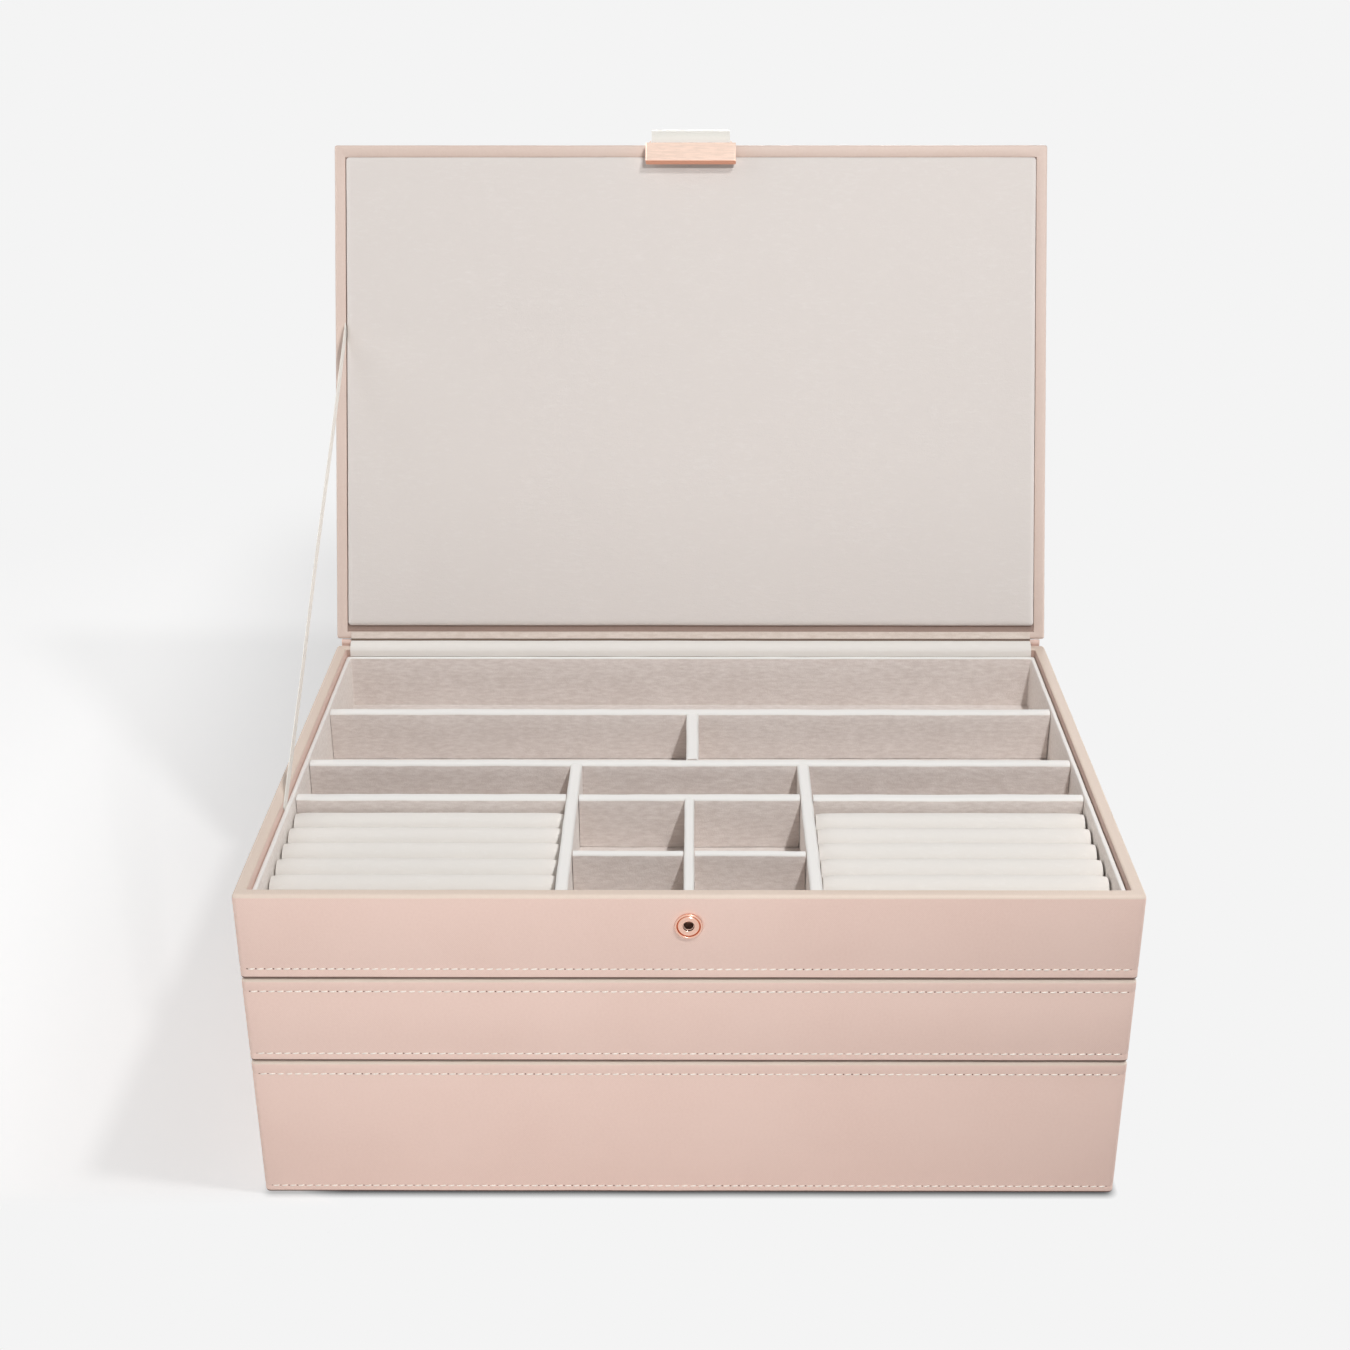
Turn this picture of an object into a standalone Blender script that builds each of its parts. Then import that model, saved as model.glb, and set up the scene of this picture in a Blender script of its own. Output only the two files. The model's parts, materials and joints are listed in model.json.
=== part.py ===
"""Tiered jewelry box: three stacked leather trays under a padded lid that stands open on a ribbon.

Metres, +Z up. The front faces -Y, and the origin is the centre of the footprint on the base.
"""
import math

import bmesh
import bpy
from mathutils import Matrix, Vector

# Whole box
BOX_WIDTH = 0.375
BOX_DEPTH = 0.260
BOTTOM_TRAY_HEIGHT = 0.0696
MIDDLE_TRAY_HEIGHT = 0.0413
TOP_TRAY_HEIGHT = 0.0404
SEAT_GAP = 0.0003
CUT_OVERRUN = 0.002

# Tray carcasses
CORNER_RADIUS = 0.002
INNER_CORNER_RADIUS = 0.001
WALL = 0.0055
FLOOR = 0.0065
RIM_OUTER_ROUND = 0.0016
RIM_INNER_ROUND = 0.0009
FOOT_ROUND = 0.0007

# Felt under the base and the nesting panel under each upper tray
BASE_FELT = 0.001
BASE_FELT_INSET = 0.004
PLINTH_DROP = 0.0036
PLINTH_CLEARANCE = 0.00075
PLINTH_ROUND = 0.0008

# Suede liners
LINER = 0.002
LINER_BELOW_RIM = 0.0042
LINER_ROUND = 0.0006

# Dividers
DIVIDER = 0.0055
DIVIDER_BELOW_RIM = 0.007
DIVIDER_TOP_ROUND = 0.0018
SHORT_DIVIDER = 0.006
SHORT_DIVIDER_OFFSET = 0.0012
CENTRE_DIVIDER = 0.0044

# Middles of the dividers from the back wall to the front, as shares of the inner depth
BACK_DIVIDER_SHARE = 0.2518
SECOND_DIVIDER_SHARE = 0.4838
THIRD_DIVIDER_SHARE = 0.6242
FOURTH_DIVIDER_SHARE = 0.8325
MIDDLE_TRAY_ROW_SHARE = 0.4613

# Widths of the columns between the long dividers, as shares of the inner width
TOP_COLUMN_SHARE = 0.2819
MIDDLE_COLUMN_SHARE = 0.3116
BOTTOM_COLUMN_SHARE = 0.473

# Ring rolls, which stand at an even pitch from the third divider to the front
ROLL_COUNT = 6
ROLL_PITCH_SHARE = 0.0573
ROLL_GAP = 0.0003
ROLL_BELOW_RIM = 0.0117
ROLL_END_GAP = 0.001
ROLL_END_ROUND = 0.0009

# Snap socket in the front wall
SOCKET_BELOW_RIM = 0.0139
SOCKET_RADIUS = 0.00545
SOCKET_PROUD = 0.0015
SOCKET_FLANGE = 0.0009
SOCKET_BACK_BEVEL = 0.0004
SOCKET_MOUTH_RADIUS = 0.00225
SOCKET_LIP = 0.0007
SOCKET_CUP_RADIUS = 0.00295
SOCKET_SHELL = 0.0005
SOCKET_DEPTH = 0.0036
SPRING_RADIUS = 0.0023
SPRING_WIRE_RADIUS = 0.00035

# Lid, its hinge line and its pad
LID_THICKNESS = 0.012
LID_OPEN_ANGLE = math.radians(113.65)
LID_OVERHANG = 0.0008
LID_OUTER_ROUND = 0.0018
LID_INNER_ROUND = 0.0009
HINGE_BEHIND_BACK = 0.0006
HINGE_ABOVE_LID_FACE = 0.0008
LID_BEFORE_HINGE = 0.002
PAD_POCKET = 0.0012
PAD_PROUD = 0.0015
PAD_CLEARANCE = 0.0008
PAD_REAR_MARGIN = 0.007
PAD_CROWN = 0.0004
PAD_CROWN_SHARES = (0.15, 0.35, 0.6, 0.85)
PAD_EDGE_ROUND = 0.0035

# Leather spine and suede strip over the hinge
SPINE = 0.0008
SPINE_LAP = 0.012
SPINE_END_SETBACK = 0.0025
SPINE_BEND_RADIUS = 0.0008
HINGE_STRIP = 0.0006
HINGE_STRIP_BEND_RADIUS = 0.0008
HINGE_STRIP_SLOPE = 0.001

# Ribbon stay
RIBBON_WIDTH = 0.006
RIBBON_THICKNESS = 0.0003
RIBBON_TRAY_PLACE = 0.0828
RIBBON_LID_PLACE = 0.1643

# Snap tab
STRAP_WIDTH = 0.041
STRAP = 0.0014
STRAP_ROOT = 0.015
STRAP_IN_SLEEVE = 0.007
SLEEVE_WIDTH = 0.0472
SLEEVE_LENGTH = 0.0107
SLEEVE_THICKNESS = 0.0039
SLEEVE_EAR = 0.003
SLEEVE_EAR_SLANT = 0.0029
SLEEVE_EDGE_ROUND = 0.0006
SLEEVE_STANDOFF = 0.0005
TAB_SWING = math.radians(73.65)
TAB_PIVOT_FORWARD = 0.006
TAB_PIVOT_BELOW_TOP = 0.0174
STUD_RADIUS = 0.0018
STUD_NECK_RADIUS = 0.0012
STUD_LENGTH = 0.0025
STUD_FOOT_RADIUS = 0.0021
STUD_FOOT = 0.0004

# Facet counts
CORNER_STEPS = 4
ARC_STEPS = 4
ROLL_STEPS = 10
TURN_STEPS = 28
RING_STEPS = 10

# Heights and places that follow from the sizes
BOTTOM_FOOT = BASE_FELT + SEAT_GAP
BOTTOM_RIM = BOTTOM_FOOT + BOTTOM_TRAY_HEIGHT
MIDDLE_FOOT = BOTTOM_RIM + SEAT_GAP
MIDDLE_RIM = MIDDLE_FOOT + MIDDLE_TRAY_HEIGHT
TOP_FOOT = MIDDLE_RIM + SEAT_GAP
TOP_RIM = TOP_FOOT + TOP_TRAY_HEIGHT
INNER_HALF_WIDTH = BOX_WIDTH / 2 - WALL
INNER_HALF_DEPTH = BOX_DEPTH / 2 - WALL
CELL_HALF_WIDTH = INNER_HALF_WIDTH - SEAT_GAP - LINER
CELL_HALF_DEPTH = INNER_HALF_DEPTH - SEAT_GAP - LINER
CELL_FLOOR = FLOOR + SEAT_GAP + LINER
ROLL_WIDTH = 2 * CELL_HALF_DEPTH * ROLL_PITCH_SHARE - ROLL_GAP
HINGE_Y = BOX_DEPTH / 2 + HINGE_BEHIND_BACK
HINGE_Z = TOP_RIM + SEAT_GAP + HINGE_ABOVE_LID_FACE
LID_REAR = -LID_BEFORE_HINGE
LID_FRONT = -(HINGE_Y + BOX_DEPTH / 2 + LID_OVERHANG)
LID_FACE = -HINGE_ABOVE_LID_FACE
LID_TOP = LID_FACE + LID_THICKNESS
SOCKET_Z = TOP_TRAY_HEIGHT - SOCKET_BELOW_RIM


def clear_scene():
    for old in list(bpy.data.objects):
        bpy.data.objects.remove(old, do_unlink=True)


def make_material(name, colour, roughness, metallic=0.0):
    material = bpy.data.materials.new(name)
    material.use_nodes = True
    shader = material.node_tree.nodes["Principled BSDF"]
    shader.inputs["Base Color"].default_value = (*colour, 1.0)
    shader.inputs["Roughness"].default_value = roughness
    shader.inputs["Metallic"].default_value = metallic
    material.diffuse_color = (*colour, 1.0)
    return material


def make_empty(name, parent=None, location=(0, 0, 0), turn=0.0):
    """An empty at a body's own place; turn is about X."""
    empty = bpy.data.objects.new(name, None)
    bpy.context.scene.collection.objects.link(empty)
    empty.parent = parent
    empty.location = location
    empty.rotation_euler = (turn, 0, 0)
    return empty


def finish_object(name, mesh_builder, material, parent=None, location=(0, 0, 0)):
    """Turn a bmesh into a named object with outward faces, smooth where it is round."""
    bmesh.ops.recalc_face_normals(mesh_builder, faces=mesh_builder.faces)
    mesh = bpy.data.meshes.new(name)
    mesh_builder.to_mesh(mesh)
    mesh_builder.free()
    mesh.shade_smooth()
    mesh.set_sharp_from_angle(angle=math.radians(32))
    mesh.materials.append(material)
    made = bpy.data.objects.new(name, mesh)
    bpy.context.scene.collection.objects.link(made)
    made.parent = parent
    made.location = location
    return made


def arc(centre, radius, start, end, steps=ARC_STEPS):
    """Points on an arc in a plane, from the start angle to the end angle in degrees."""
    points = []
    for step in range(steps + 1):
        angle = math.radians(start + (end - start) * step / steps)
        points.append((centre[0] + radius * math.cos(angle), centre[1] + radius * math.sin(angle)))
    return points


def rounded_rectangle(left, right, front, back, radius):
    """Corner arcs of a rectangle seen from above, anticlockwise from its front right corner."""
    return (
        arc((right - radius, front + radius), radius, -90, 0, CORNER_STEPS)
        + arc((right - radius, back - radius), radius, 0, 90, CORNER_STEPS)
        + arc((left + radius, back - radius), radius, 90, 180, CORNER_STEPS)
        + arc((left + radius, front + radius), radius, 180, 270, CORNER_STEPS)
    )


def loft(rings):
    """Join rings of the same number of points by quads, and close the first and the last."""
    builder = bmesh.new()
    loops = [[builder.verts.new(point) for point in ring] for ring in rings]
    count = len(loops[0])
    for lower, upper in zip(loops, loops[1:]):
        for index in range(count):
            after = (index + 1) % count
            builder.faces.new((lower[index], lower[after], upper[after], upper[index]))
    builder.faces.new(reversed(loops[0]))
    builder.faces.new(loops[-1])
    return builder


def rectangle_loft(width, depth, profile, corner=CORNER_RADIUS):
    """Rings round a rectangle that follow a profile of (inset, height) points."""
    rings = []
    for inset, height in profile:
        radius = max(corner - inset, INNER_CORNER_RADIUS)
        flat = rounded_rectangle(
            inset - width / 2, width / 2 - inset, inset - depth / 2, depth / 2 - inset, radius
        )
        rings.append([(x, y, height) for x, y in flat])
    return loft(rings)


def extrude_outline(outline, start, end, along):
    """A prism of a closed outline; along is X or Y, and the outline holds (other, Z) points."""
    rings = []
    for place in (start, end):
        if along == "X":
            rings.append([(place, other, z) for other, z in outline])
        else:
            rings.append([(other, place, z) for other, z in outline])
    return loft(rings)


def fillet_path(corners, radius):
    """An open path with its inner corners rounded by arcs of one radius."""
    path = [Vector(corners[0])]
    for before, here, after in zip(corners, corners[1:], corners[2:]):
        here = Vector(here)
        into = (here - Vector(before)).normalized()
        out = (Vector(after) - here).normalized()
        turn = into.angle_signed(out)
        reach = radius * math.tan(abs(turn) / 2)
        start = here - into * reach
        side = Vector((-into.y, into.x)) * (-1 if turn > 0 else 1)
        centre = start + side * radius
        for step in range(ARC_STEPS + 1):
            spoke = (start - centre)
            spoke.rotate(Matrix.Rotation(-turn * step / ARC_STEPS, 2))
            path.append(centre + spoke)
    path.append(Vector(corners[-1]))
    return path


def strip(path, thickness, half_width):
    """A strip of even thickness that follows a path in the YZ plane, extruded along X."""
    rings = []
    for index, point in enumerate(path):
        before = path[max(index - 1, 0)]
        after = path[min(index + 1, len(path) - 1)]
        into = (point - before).normalized() if index else (after - point).normalized()
        out = (after - point).normalized() if index < len(path) - 1 else into
        along = (into + out).normalized()
        side = Vector((-along.y, along.x)) * thickness / 2 / along.dot(into)
        inner = point - side
        outer = point + side
        rings.append([
            (-half_width, inner.x, inner.y),
            (half_width, inner.x, inner.y),
            (half_width, outer.x, outer.y),
            (-half_width, outer.x, outer.y),
        ])
    return loft(rings)


def turned(profile, steps=TURN_STEPS):
    """A solid turned about Y from (radius, y) points that start and end on the axis."""
    builder = bmesh.new()
    loops = []
    for radius, y in profile[1:-1]:
        ring = []
        for step in range(steps):
            angle = math.tau * step / steps
            ring.append(builder.verts.new((radius * math.cos(angle), y, radius * math.sin(angle))))
        loops.append(ring)
    first = builder.verts.new((0, profile[0][1], 0))
    last = builder.verts.new((0, profile[-1][1], 0))
    for index in range(steps):
        after = (index + 1) % steps
        builder.faces.new((first, loops[0][index], loops[0][after]))
        builder.faces.new((last, loops[-1][after], loops[-1][index]))
        for inner, outer in zip(loops, loops[1:]):
            builder.faces.new((inner[index], outer[index], outer[after], inner[after]))
    return builder


def lid_to_world(y, z):
    """A point of the shut lid, measured from the hinge line, as it stands with the lid open."""
    spot = Vector((y, z))
    spot.rotate(Matrix.Rotation(-LID_OPEN_ANGLE, 2))
    return Vector((HINGE_Y, HINGE_Z)) + spot


def rim_profile(height):
    """Outer side, rounded rim and inner side of a carcass, from its foot to its floor."""
    foot = arc((FOOT_ROUND, FOOT_ROUND), FOOT_ROUND, 270, 180)
    outer = arc((RIM_OUTER_ROUND, height - RIM_OUTER_ROUND), RIM_OUTER_ROUND, 180, 90)
    inner = arc((WALL - RIM_INNER_ROUND, height - RIM_INNER_ROUND), RIM_INNER_ROUND, 90, 0)
    return foot + outer + inner + [(WALL, FLOOR)]


def liner_profile(height):
    """A thin lining shell inside a carcass: insets are from the box's own sides."""
    outside = WALL + SEAT_GAP
    inside = outside + LINER
    top = height - LINER_BELOW_RIM
    outer = arc((outside + LINER_ROUND, top - LINER_ROUND), LINER_ROUND, 180, 90)
    inner = arc((inside - LINER_ROUND, top - LINER_ROUND), LINER_ROUND, 90, 0)
    return [(outside, FLOOR + SEAT_GAP)] + outer + inner + [(inside, CELL_FLOOR)]


def build_carcass(tray, height, leather, parent):
    return finish_object(
        f"{tray}_carcass", rectangle_loft(BOX_WIDTH, BOX_DEPTH, rim_profile(height)), leather, parent
    )


def build_liner(tray, height, suede, parent):
    builder = rectangle_loft(BOX_WIDTH, BOX_DEPTH, liner_profile(height))
    return finish_object(f"{tray}_liner", builder, suede, parent)


def build_plinth(tray, suede, parent):
    """The panel under a tray that drops inside the rim of the tray below."""
    inset = WALL + PLINTH_CLEARANCE
    bottom = -PLINTH_DROP
    profile = arc((inset + PLINTH_ROUND, bottom + PLINTH_ROUND), PLINTH_ROUND, 270, 180)
    profile.append((inset, -SEAT_GAP))
    finish_object(f"{tray}_plinth", rectangle_loft(BOX_WIDTH, BOX_DEPTH, profile), suede, parent)


def build_base_felt(felt, parent):
    profile = [(BASE_FELT_INSET, -BASE_FELT - SEAT_GAP), (BASE_FELT_INSET, -SEAT_GAP)]
    finish_object("base_felt", rectangle_loft(BOX_WIDTH, BOX_DEPTH, profile), felt, parent)


def divider_outline(centre, thickness, height):
    """A divider's cross-section, with its top edges rounded."""
    low = CELL_FLOOR + SEAT_GAP
    high = height - DIVIDER_BELOW_RIM
    left = centre - thickness / 2
    right = centre + thickness / 2
    radius = min(DIVIDER_TOP_ROUND, thickness / 2 - SEAT_GAP)
    return (
        [(left, low), (right, low)]
        + arc((right - radius, high - radius), radius, 0, 90)
        + arc((left + radius, high - radius), radius, 90, 180)
    )


def build_cross_divider(name, centre, left, right, height, suede, parent, thickness=DIVIDER):
    """A divider that runs from side to side; centre is its place from front to back."""
    outline = divider_outline(centre, thickness, height)
    builder = extrude_outline(outline, left + SEAT_GAP, right - SEAT_GAP, "X")
    finish_object(name, builder, suede, parent)


def build_long_divider(name, centre, front, back, height, suede, parent, thickness=DIVIDER):
    """A divider that runs from front to back; centre is its place from side to side."""
    outline = divider_outline(centre, thickness, height)
    builder = extrude_outline(outline, front + SEAT_GAP, back - SEAT_GAP, "Y")
    finish_object(name, builder, suede, parent)


def build_roll(name, left, right, back, height, suede, parent):
    """One padded bar: flat sides, a half-round top and softened ends."""
    front = back - ROLL_WIDTH
    low = CELL_FLOOR + SEAT_GAP
    centre = (front + back) / 2
    shoulder = height - ROLL_BELOW_RIM - ROLL_WIDTH / 2
    outline = [(front, low), (back, low)]
    outline += arc((centre, shoulder), ROLL_WIDTH / 2, 0, 180, ROLL_STEPS)
    middle = Vector((centre, (low + shoulder) / 2))
    rings = []
    for place, inset in (
        (left, ROLL_END_ROUND),
        (left + ROLL_END_ROUND, 0),
        (right - ROLL_END_ROUND, 0),
        (right, ROLL_END_ROUND),
    ):
        width_share = 1 - 2 * inset / ROLL_WIDTH
        height_share = 1 - inset / (shoulder + ROLL_WIDTH / 2 - middle.y)
        ring = []
        for y, z in outline:
            across = middle.x + (y - middle.x) * width_share
            ring.append((place, across, max(low, middle.y + (z - middle.y) * height_share)))
        rings.append(ring)
    finish_object(name, loft(rings), suede, parent)


def row_place(share):
    """Where a divider's middle stands, for its share of the inner depth from the back wall."""
    return CELL_HALF_DEPTH - 2 * CELL_HALF_DEPTH * share


def build_top_cells(height, suede, roll_suede, parent):
    """The top tray's dividers and its two blocks of ring rolls, from the back to the front."""
    first = row_place(BACK_DIVIDER_SHARE)
    second = row_place(SECOND_DIVIDER_SHARE)
    third = row_place(THIRD_DIVIDER_SHARE)
    fourth = row_place(FOURTH_DIVIDER_SHARE)
    column = CELL_HALF_WIDTH * TOP_COLUMN_SHARE
    column_centre = column + DIVIDER / 2
    column_outside = column + DIVIDER
    third_front = third - DIVIDER / 2

    build_cross_divider(
        "top_divider_back", first, -CELL_HALF_WIDTH, CELL_HALF_WIDTH, height, suede, parent
    )
    build_cross_divider(
        "top_divider_second", second, -CELL_HALF_WIDTH, CELL_HALF_WIDTH, height, suede, parent
    )
    build_long_divider(
        "top_divider_short", SHORT_DIVIDER_OFFSET, second + DIVIDER / 2, first - DIVIDER / 2,
        height, suede, parent, SHORT_DIVIDER,
    )
    for side, sign in (("left", -1), ("right", 1)):
        outer = sorted((sign * CELL_HALF_WIDTH, sign * column_outside))
        inner = sorted((sign * CENTRE_DIVIDER / 2, sign * column))
        build_long_divider(
            f"top_divider_{side}", sign * column_centre, -CELL_HALF_DEPTH, second - DIVIDER / 2,
            height, suede, parent,
        )
        build_cross_divider(
            f"top_divider_third_{side}", third, outer[0], outer[1], height, suede, parent
        )
        build_cross_divider(
            f"top_divider_fourth_{side}", fourth, inner[0], inner[1], height, suede, parent
        )
        for index in range(ROLL_COUNT):
            back = third_front - SEAT_GAP - index * (ROLL_WIDTH + ROLL_GAP)
            build_roll(
                f"ring_roll_{side}_{index + 1}", outer[0] + ROLL_END_GAP, outer[1] - ROLL_END_GAP,
                back, height, roll_suede, parent,
            )
    build_cross_divider("top_divider_third_centre", third, -column, column, height, suede, parent)
    build_long_divider(
        "top_divider_centre", 0, -CELL_HALF_DEPTH, third_front, height, suede, parent, CENTRE_DIVIDER
    )


def build_middle_cells(height, suede, parent):
    """Two wide cells at the back of the middle tray and three in front."""
    row = row_place(MIDDLE_TRAY_ROW_SHARE)
    column = CELL_HALF_WIDTH * MIDDLE_COLUMN_SHARE + DIVIDER / 2
    build_cross_divider(
        "middle_divider_row", row, -CELL_HALF_WIDTH, CELL_HALF_WIDTH, height, suede, parent
    )
    build_long_divider(
        "middle_divider_back", 0, row + DIVIDER / 2, CELL_HALF_DEPTH, height, suede, parent
    )
    for side, sign in (("left", -1), ("right", 1)):
        build_long_divider(
            f"middle_divider_{side}", sign * column, -CELL_HALF_DEPTH, row - DIVIDER / 2,
            height, suede, parent,
        )


def build_bottom_cells(height, suede, parent):
    """Three deep cells side by side in the bottom tray."""
    column = CELL_HALF_WIDTH * BOTTOM_COLUMN_SHARE + DIVIDER / 2
    for side, sign in (("left", -1), ("right", 1)):
        build_long_divider(
            f"bottom_divider_{side}", sign * column, -CELL_HALF_DEPTH, CELL_HALF_DEPTH,
            height, suede, parent,
        )


def bore_for_socket(carcass, parent):
    """A blind bore in the front wall that takes the cup of the snap socket."""
    radius = SOCKET_CUP_RADIUS + SOCKET_SHELL + SEAT_GAP
    profile = [(0, -CUT_OVERRUN), (radius, -CUT_OVERRUN)]
    profile += [(radius, SOCKET_DEPTH + SEAT_GAP), (0, SOCKET_DEPTH + SEAT_GAP)]
    cutter = finish_object(
        "socket_bore", turned(profile), carcass.data.materials[0], parent, (0, -BOX_DEPTH / 2, SOCKET_Z)
    )
    cutter.hide_render = True
    cutter.display_type = "WIRE"
    cut = carcass.modifiers.new("Socket bore", "BOOLEAN")
    cut.operation = "DIFFERENCE"
    cut.solver = "EXACT"
    cut.object = cutter


def build_socket(metal, dark, parent):
    """The female snap: a rounded flange on the wall, a cup behind it and a wire ring inside."""
    place = (0, -BOX_DEPTH / 2, SOCKET_Z)
    tube = SOCKET_CUP_RADIUS + SOCKET_SHELL
    flange_back = -SEAT_GAP
    flange_front = -SOCKET_PROUD
    rim_centre = (SOCKET_RADIUS - SOCKET_FLANGE, flange_front + SOCKET_FLANGE)
    profile = [(0, SOCKET_DEPTH), (tube, SOCKET_DEPTH), (tube, flange_back)]
    profile.append((SOCKET_RADIUS - SOCKET_BACK_BEVEL, flange_back))
    profile += arc(rim_centre, SOCKET_FLANGE, 0, -90)
    profile += [(SOCKET_MOUTH_RADIUS + SOCKET_LIP / 2, flange_front)]
    profile += [(SOCKET_MOUTH_RADIUS, flange_front + SOCKET_LIP / 2)]
    profile += [(SOCKET_MOUTH_RADIUS, flange_front + SOCKET_LIP)]
    profile += [(SOCKET_CUP_RADIUS, flange_front + SOCKET_LIP)]
    profile += [(SOCKET_CUP_RADIUS, SOCKET_DEPTH - SOCKET_SHELL), (0, SOCKET_DEPTH - SOCKET_SHELL)]
    finish_object("snap_socket", turned(profile), metal, parent, place)

    spring = bmesh.new()
    loops = []
    for step in range(TURN_STEPS):
        angle = math.tau * step / TURN_STEPS
        loop = []
        for reach, y in arc((SPRING_RADIUS, 0), SPRING_WIRE_RADIUS, 0, 360, RING_STEPS)[:-1]:
            loop.append(spring.verts.new((reach * math.cos(angle), y, reach * math.sin(angle))))
        loops.append(loop)
    for index, loop in enumerate(loops):
        following = loops[(index + 1) % TURN_STEPS]
        for corner in range(RING_STEPS):
            after = (corner + 1) % RING_STEPS
            spring.faces.new((loop[corner], loop[after], following[after], following[corner]))
    finish_object("snap_spring", spring, dark, parent, place)


def build_lid(leather, parent):
    """The lid as it lies shut, its origin on the hinge line; its face has a pocket for the pad."""
    half = BOX_WIDTH / 2
    pad = pad_rectangle(-SEAT_GAP)
    pocket = LID_FACE + PAD_POCKET
    rings = []
    for z in (pocket, LID_FACE):
        rings.append([(x, y, z) for x, y in rounded_rectangle(*pad, INNER_CORNER_RADIUS)])
    inner = arc((LID_INNER_ROUND, LID_FACE + LID_INNER_ROUND), LID_INNER_ROUND, 270, 180)
    outer = arc((LID_OUTER_ROUND, LID_TOP - LID_OUTER_ROUND), LID_OUTER_ROUND, 180, 90)
    for inset, z in inner + outer:
        radius = max(CORNER_RADIUS - inset, INNER_CORNER_RADIUS)
        flat = rounded_rectangle(
            inset - half, half - inset, LID_FRONT + inset, LID_REAR - inset, radius
        )
        rings.append([(x, y, z) for x, y in flat])
    finish_object("lid_panel", loft(rings), leather, parent)


def pad_rectangle(inset):
    """Left, right, front and back of the lid pad, drawn in by an inset."""
    half = INNER_HALF_WIDTH - PAD_CLEARANCE - inset
    front = LID_FRONT + LID_OVERHANG + WALL + PAD_CLEARANCE + inset
    back = LID_REAR - PAD_REAR_MARGIN - inset
    return -half, half, front, back


def build_pad(suede, parent):
    """A thin cushion whose edges roll over and whose face swells a little toward its middle."""
    flat_face = LID_FACE - PAD_PROUD + PAD_CROWN
    rings = [(0, LID_FACE + PAD_POCKET - SEAT_GAP), (0, LID_FACE)]
    for step in range(1, ARC_STEPS + 1):
        angle = math.radians(90 * step / ARC_STEPS)
        inset = PAD_EDGE_ROUND * (1 - math.cos(angle))
        rings.append((inset, LID_FACE - (LID_FACE - flat_face) * math.sin(angle)))
    for share in PAD_CROWN_SHARES:
        inset = PAD_EDGE_ROUND + (CELL_HALF_DEPTH - PAD_EDGE_ROUND) * share
        rings.append((inset, flat_face - PAD_CROWN * math.sin(share * math.pi / 2)))
    loops = []
    for inset, z in rings:
        flat = rounded_rectangle(*pad_rectangle(inset), INNER_CORNER_RADIUS)
        loops.append([(x, y, z) for x, y in flat])
    finish_object("lid_pad", loft(loops), suede, parent)


def build_spine(leather):
    """The leather hinge: up the back wall, round the hinge line and along the lid's rear edge."""
    tray_line = BOX_DEPTH / 2 + SEAT_GAP + SPINE / 2
    lid_line = LID_REAR + SEAT_GAP + SPINE / 2
    low = Vector((tray_line, TOP_RIM - SPINE_LAP))
    tip = lid_to_world(lid_line, LID_TOP - LID_OUTER_ROUND)
    along = (tip - lid_to_world(lid_line, 0)).normalized()
    fold = tip - along * ((tip.x - tray_line) / along.x)
    path = fillet_path([low, fold, tip], SPINE_BEND_RADIUS)
    half = BOX_WIDTH / 2 - SPINE_END_SETBACK
    finish_object("hinge_spine", strip(path, SPINE, half), leather)


def build_hinge_strip(suede):
    """The suede strip from the lid's face, down over the back rim and onto the back liner."""
    offset = SEAT_GAP + HINGE_STRIP / 2
    face_line = LID_FACE - offset
    start = lid_to_world(LID_REAR - PAD_REAR_MARGIN + offset, face_line)
    crease = lid_to_world(LID_REAR, face_line)
    back_corner = Vector((BOX_DEPTH / 2 - HINGE_STRIP / 2, TOP_RIM + offset + HINGE_STRIP_SLOPE))
    inner_line = INNER_HALF_DEPTH - offset
    corner = Vector((inner_line, TOP_RIM + offset))
    end = Vector((inner_line, TOP_RIM - LINER_BELOW_RIM + SEAT_GAP))
    path = fillet_path([start, crease, back_corner, corner, end], HINGE_STRIP_BEND_RADIUS)
    finish_object("hinge_strip", strip(path, HINGE_STRIP, CELL_HALF_WIDTH), suede)


def build_ribbon(cloth):
    """The flat ribbon that holds the lid open, edge on at the left wall."""
    plane = -(INNER_HALF_WIDTH - RIBBON_THICKNESS)
    bottom = Vector((RIBBON_TRAY_PLACE - BOX_DEPTH / 2, TOP_RIM - LINER_BELOW_RIM + SEAT_GAP))
    top = lid_to_world(LID_REAR - RIBBON_LID_PLACE, LID_FACE - SEAT_GAP)
    along = (top - bottom).normalized()
    lid_along = (lid_to_world(LID_FRONT, 0) - lid_to_world(0, 0)).normalized()
    half_low = RIBBON_WIDTH / 2 / abs(along.y)
    half_high = RIBBON_WIDTH / 2 / abs(along.x * lid_along.y - along.y * lid_along.x)
    outline = [
        (bottom.x - half_low, bottom.y),
        (bottom.x + half_low, bottom.y),
        tuple(top - lid_along * half_high),
        tuple(top + lid_along * half_high),
    ]
    builder = extrude_outline(
        outline, plane - RIBBON_THICKNESS / 2, plane + RIBBON_THICKNESS / 2, "X"
    )
    finish_object("ribbon_stay", builder, cloth)


def sleeve_place():
    """Middle of the snapped sleeve, from the hinge line of the shut lid."""
    y = -BOX_DEPTH / 2 - SOCKET_PROUD - SLEEVE_STANDOFF - SLEEVE_THICKNESS / 2 - HINGE_Y
    z = TOP_FOOT + SOCKET_Z - HINGE_Z
    return Vector((y, z))


def tab_pivot_place():
    return Vector((LID_FRONT - TAB_PIVOT_FORWARD, LID_TOP - TAB_PIVOT_BELOW_TOP))


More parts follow.
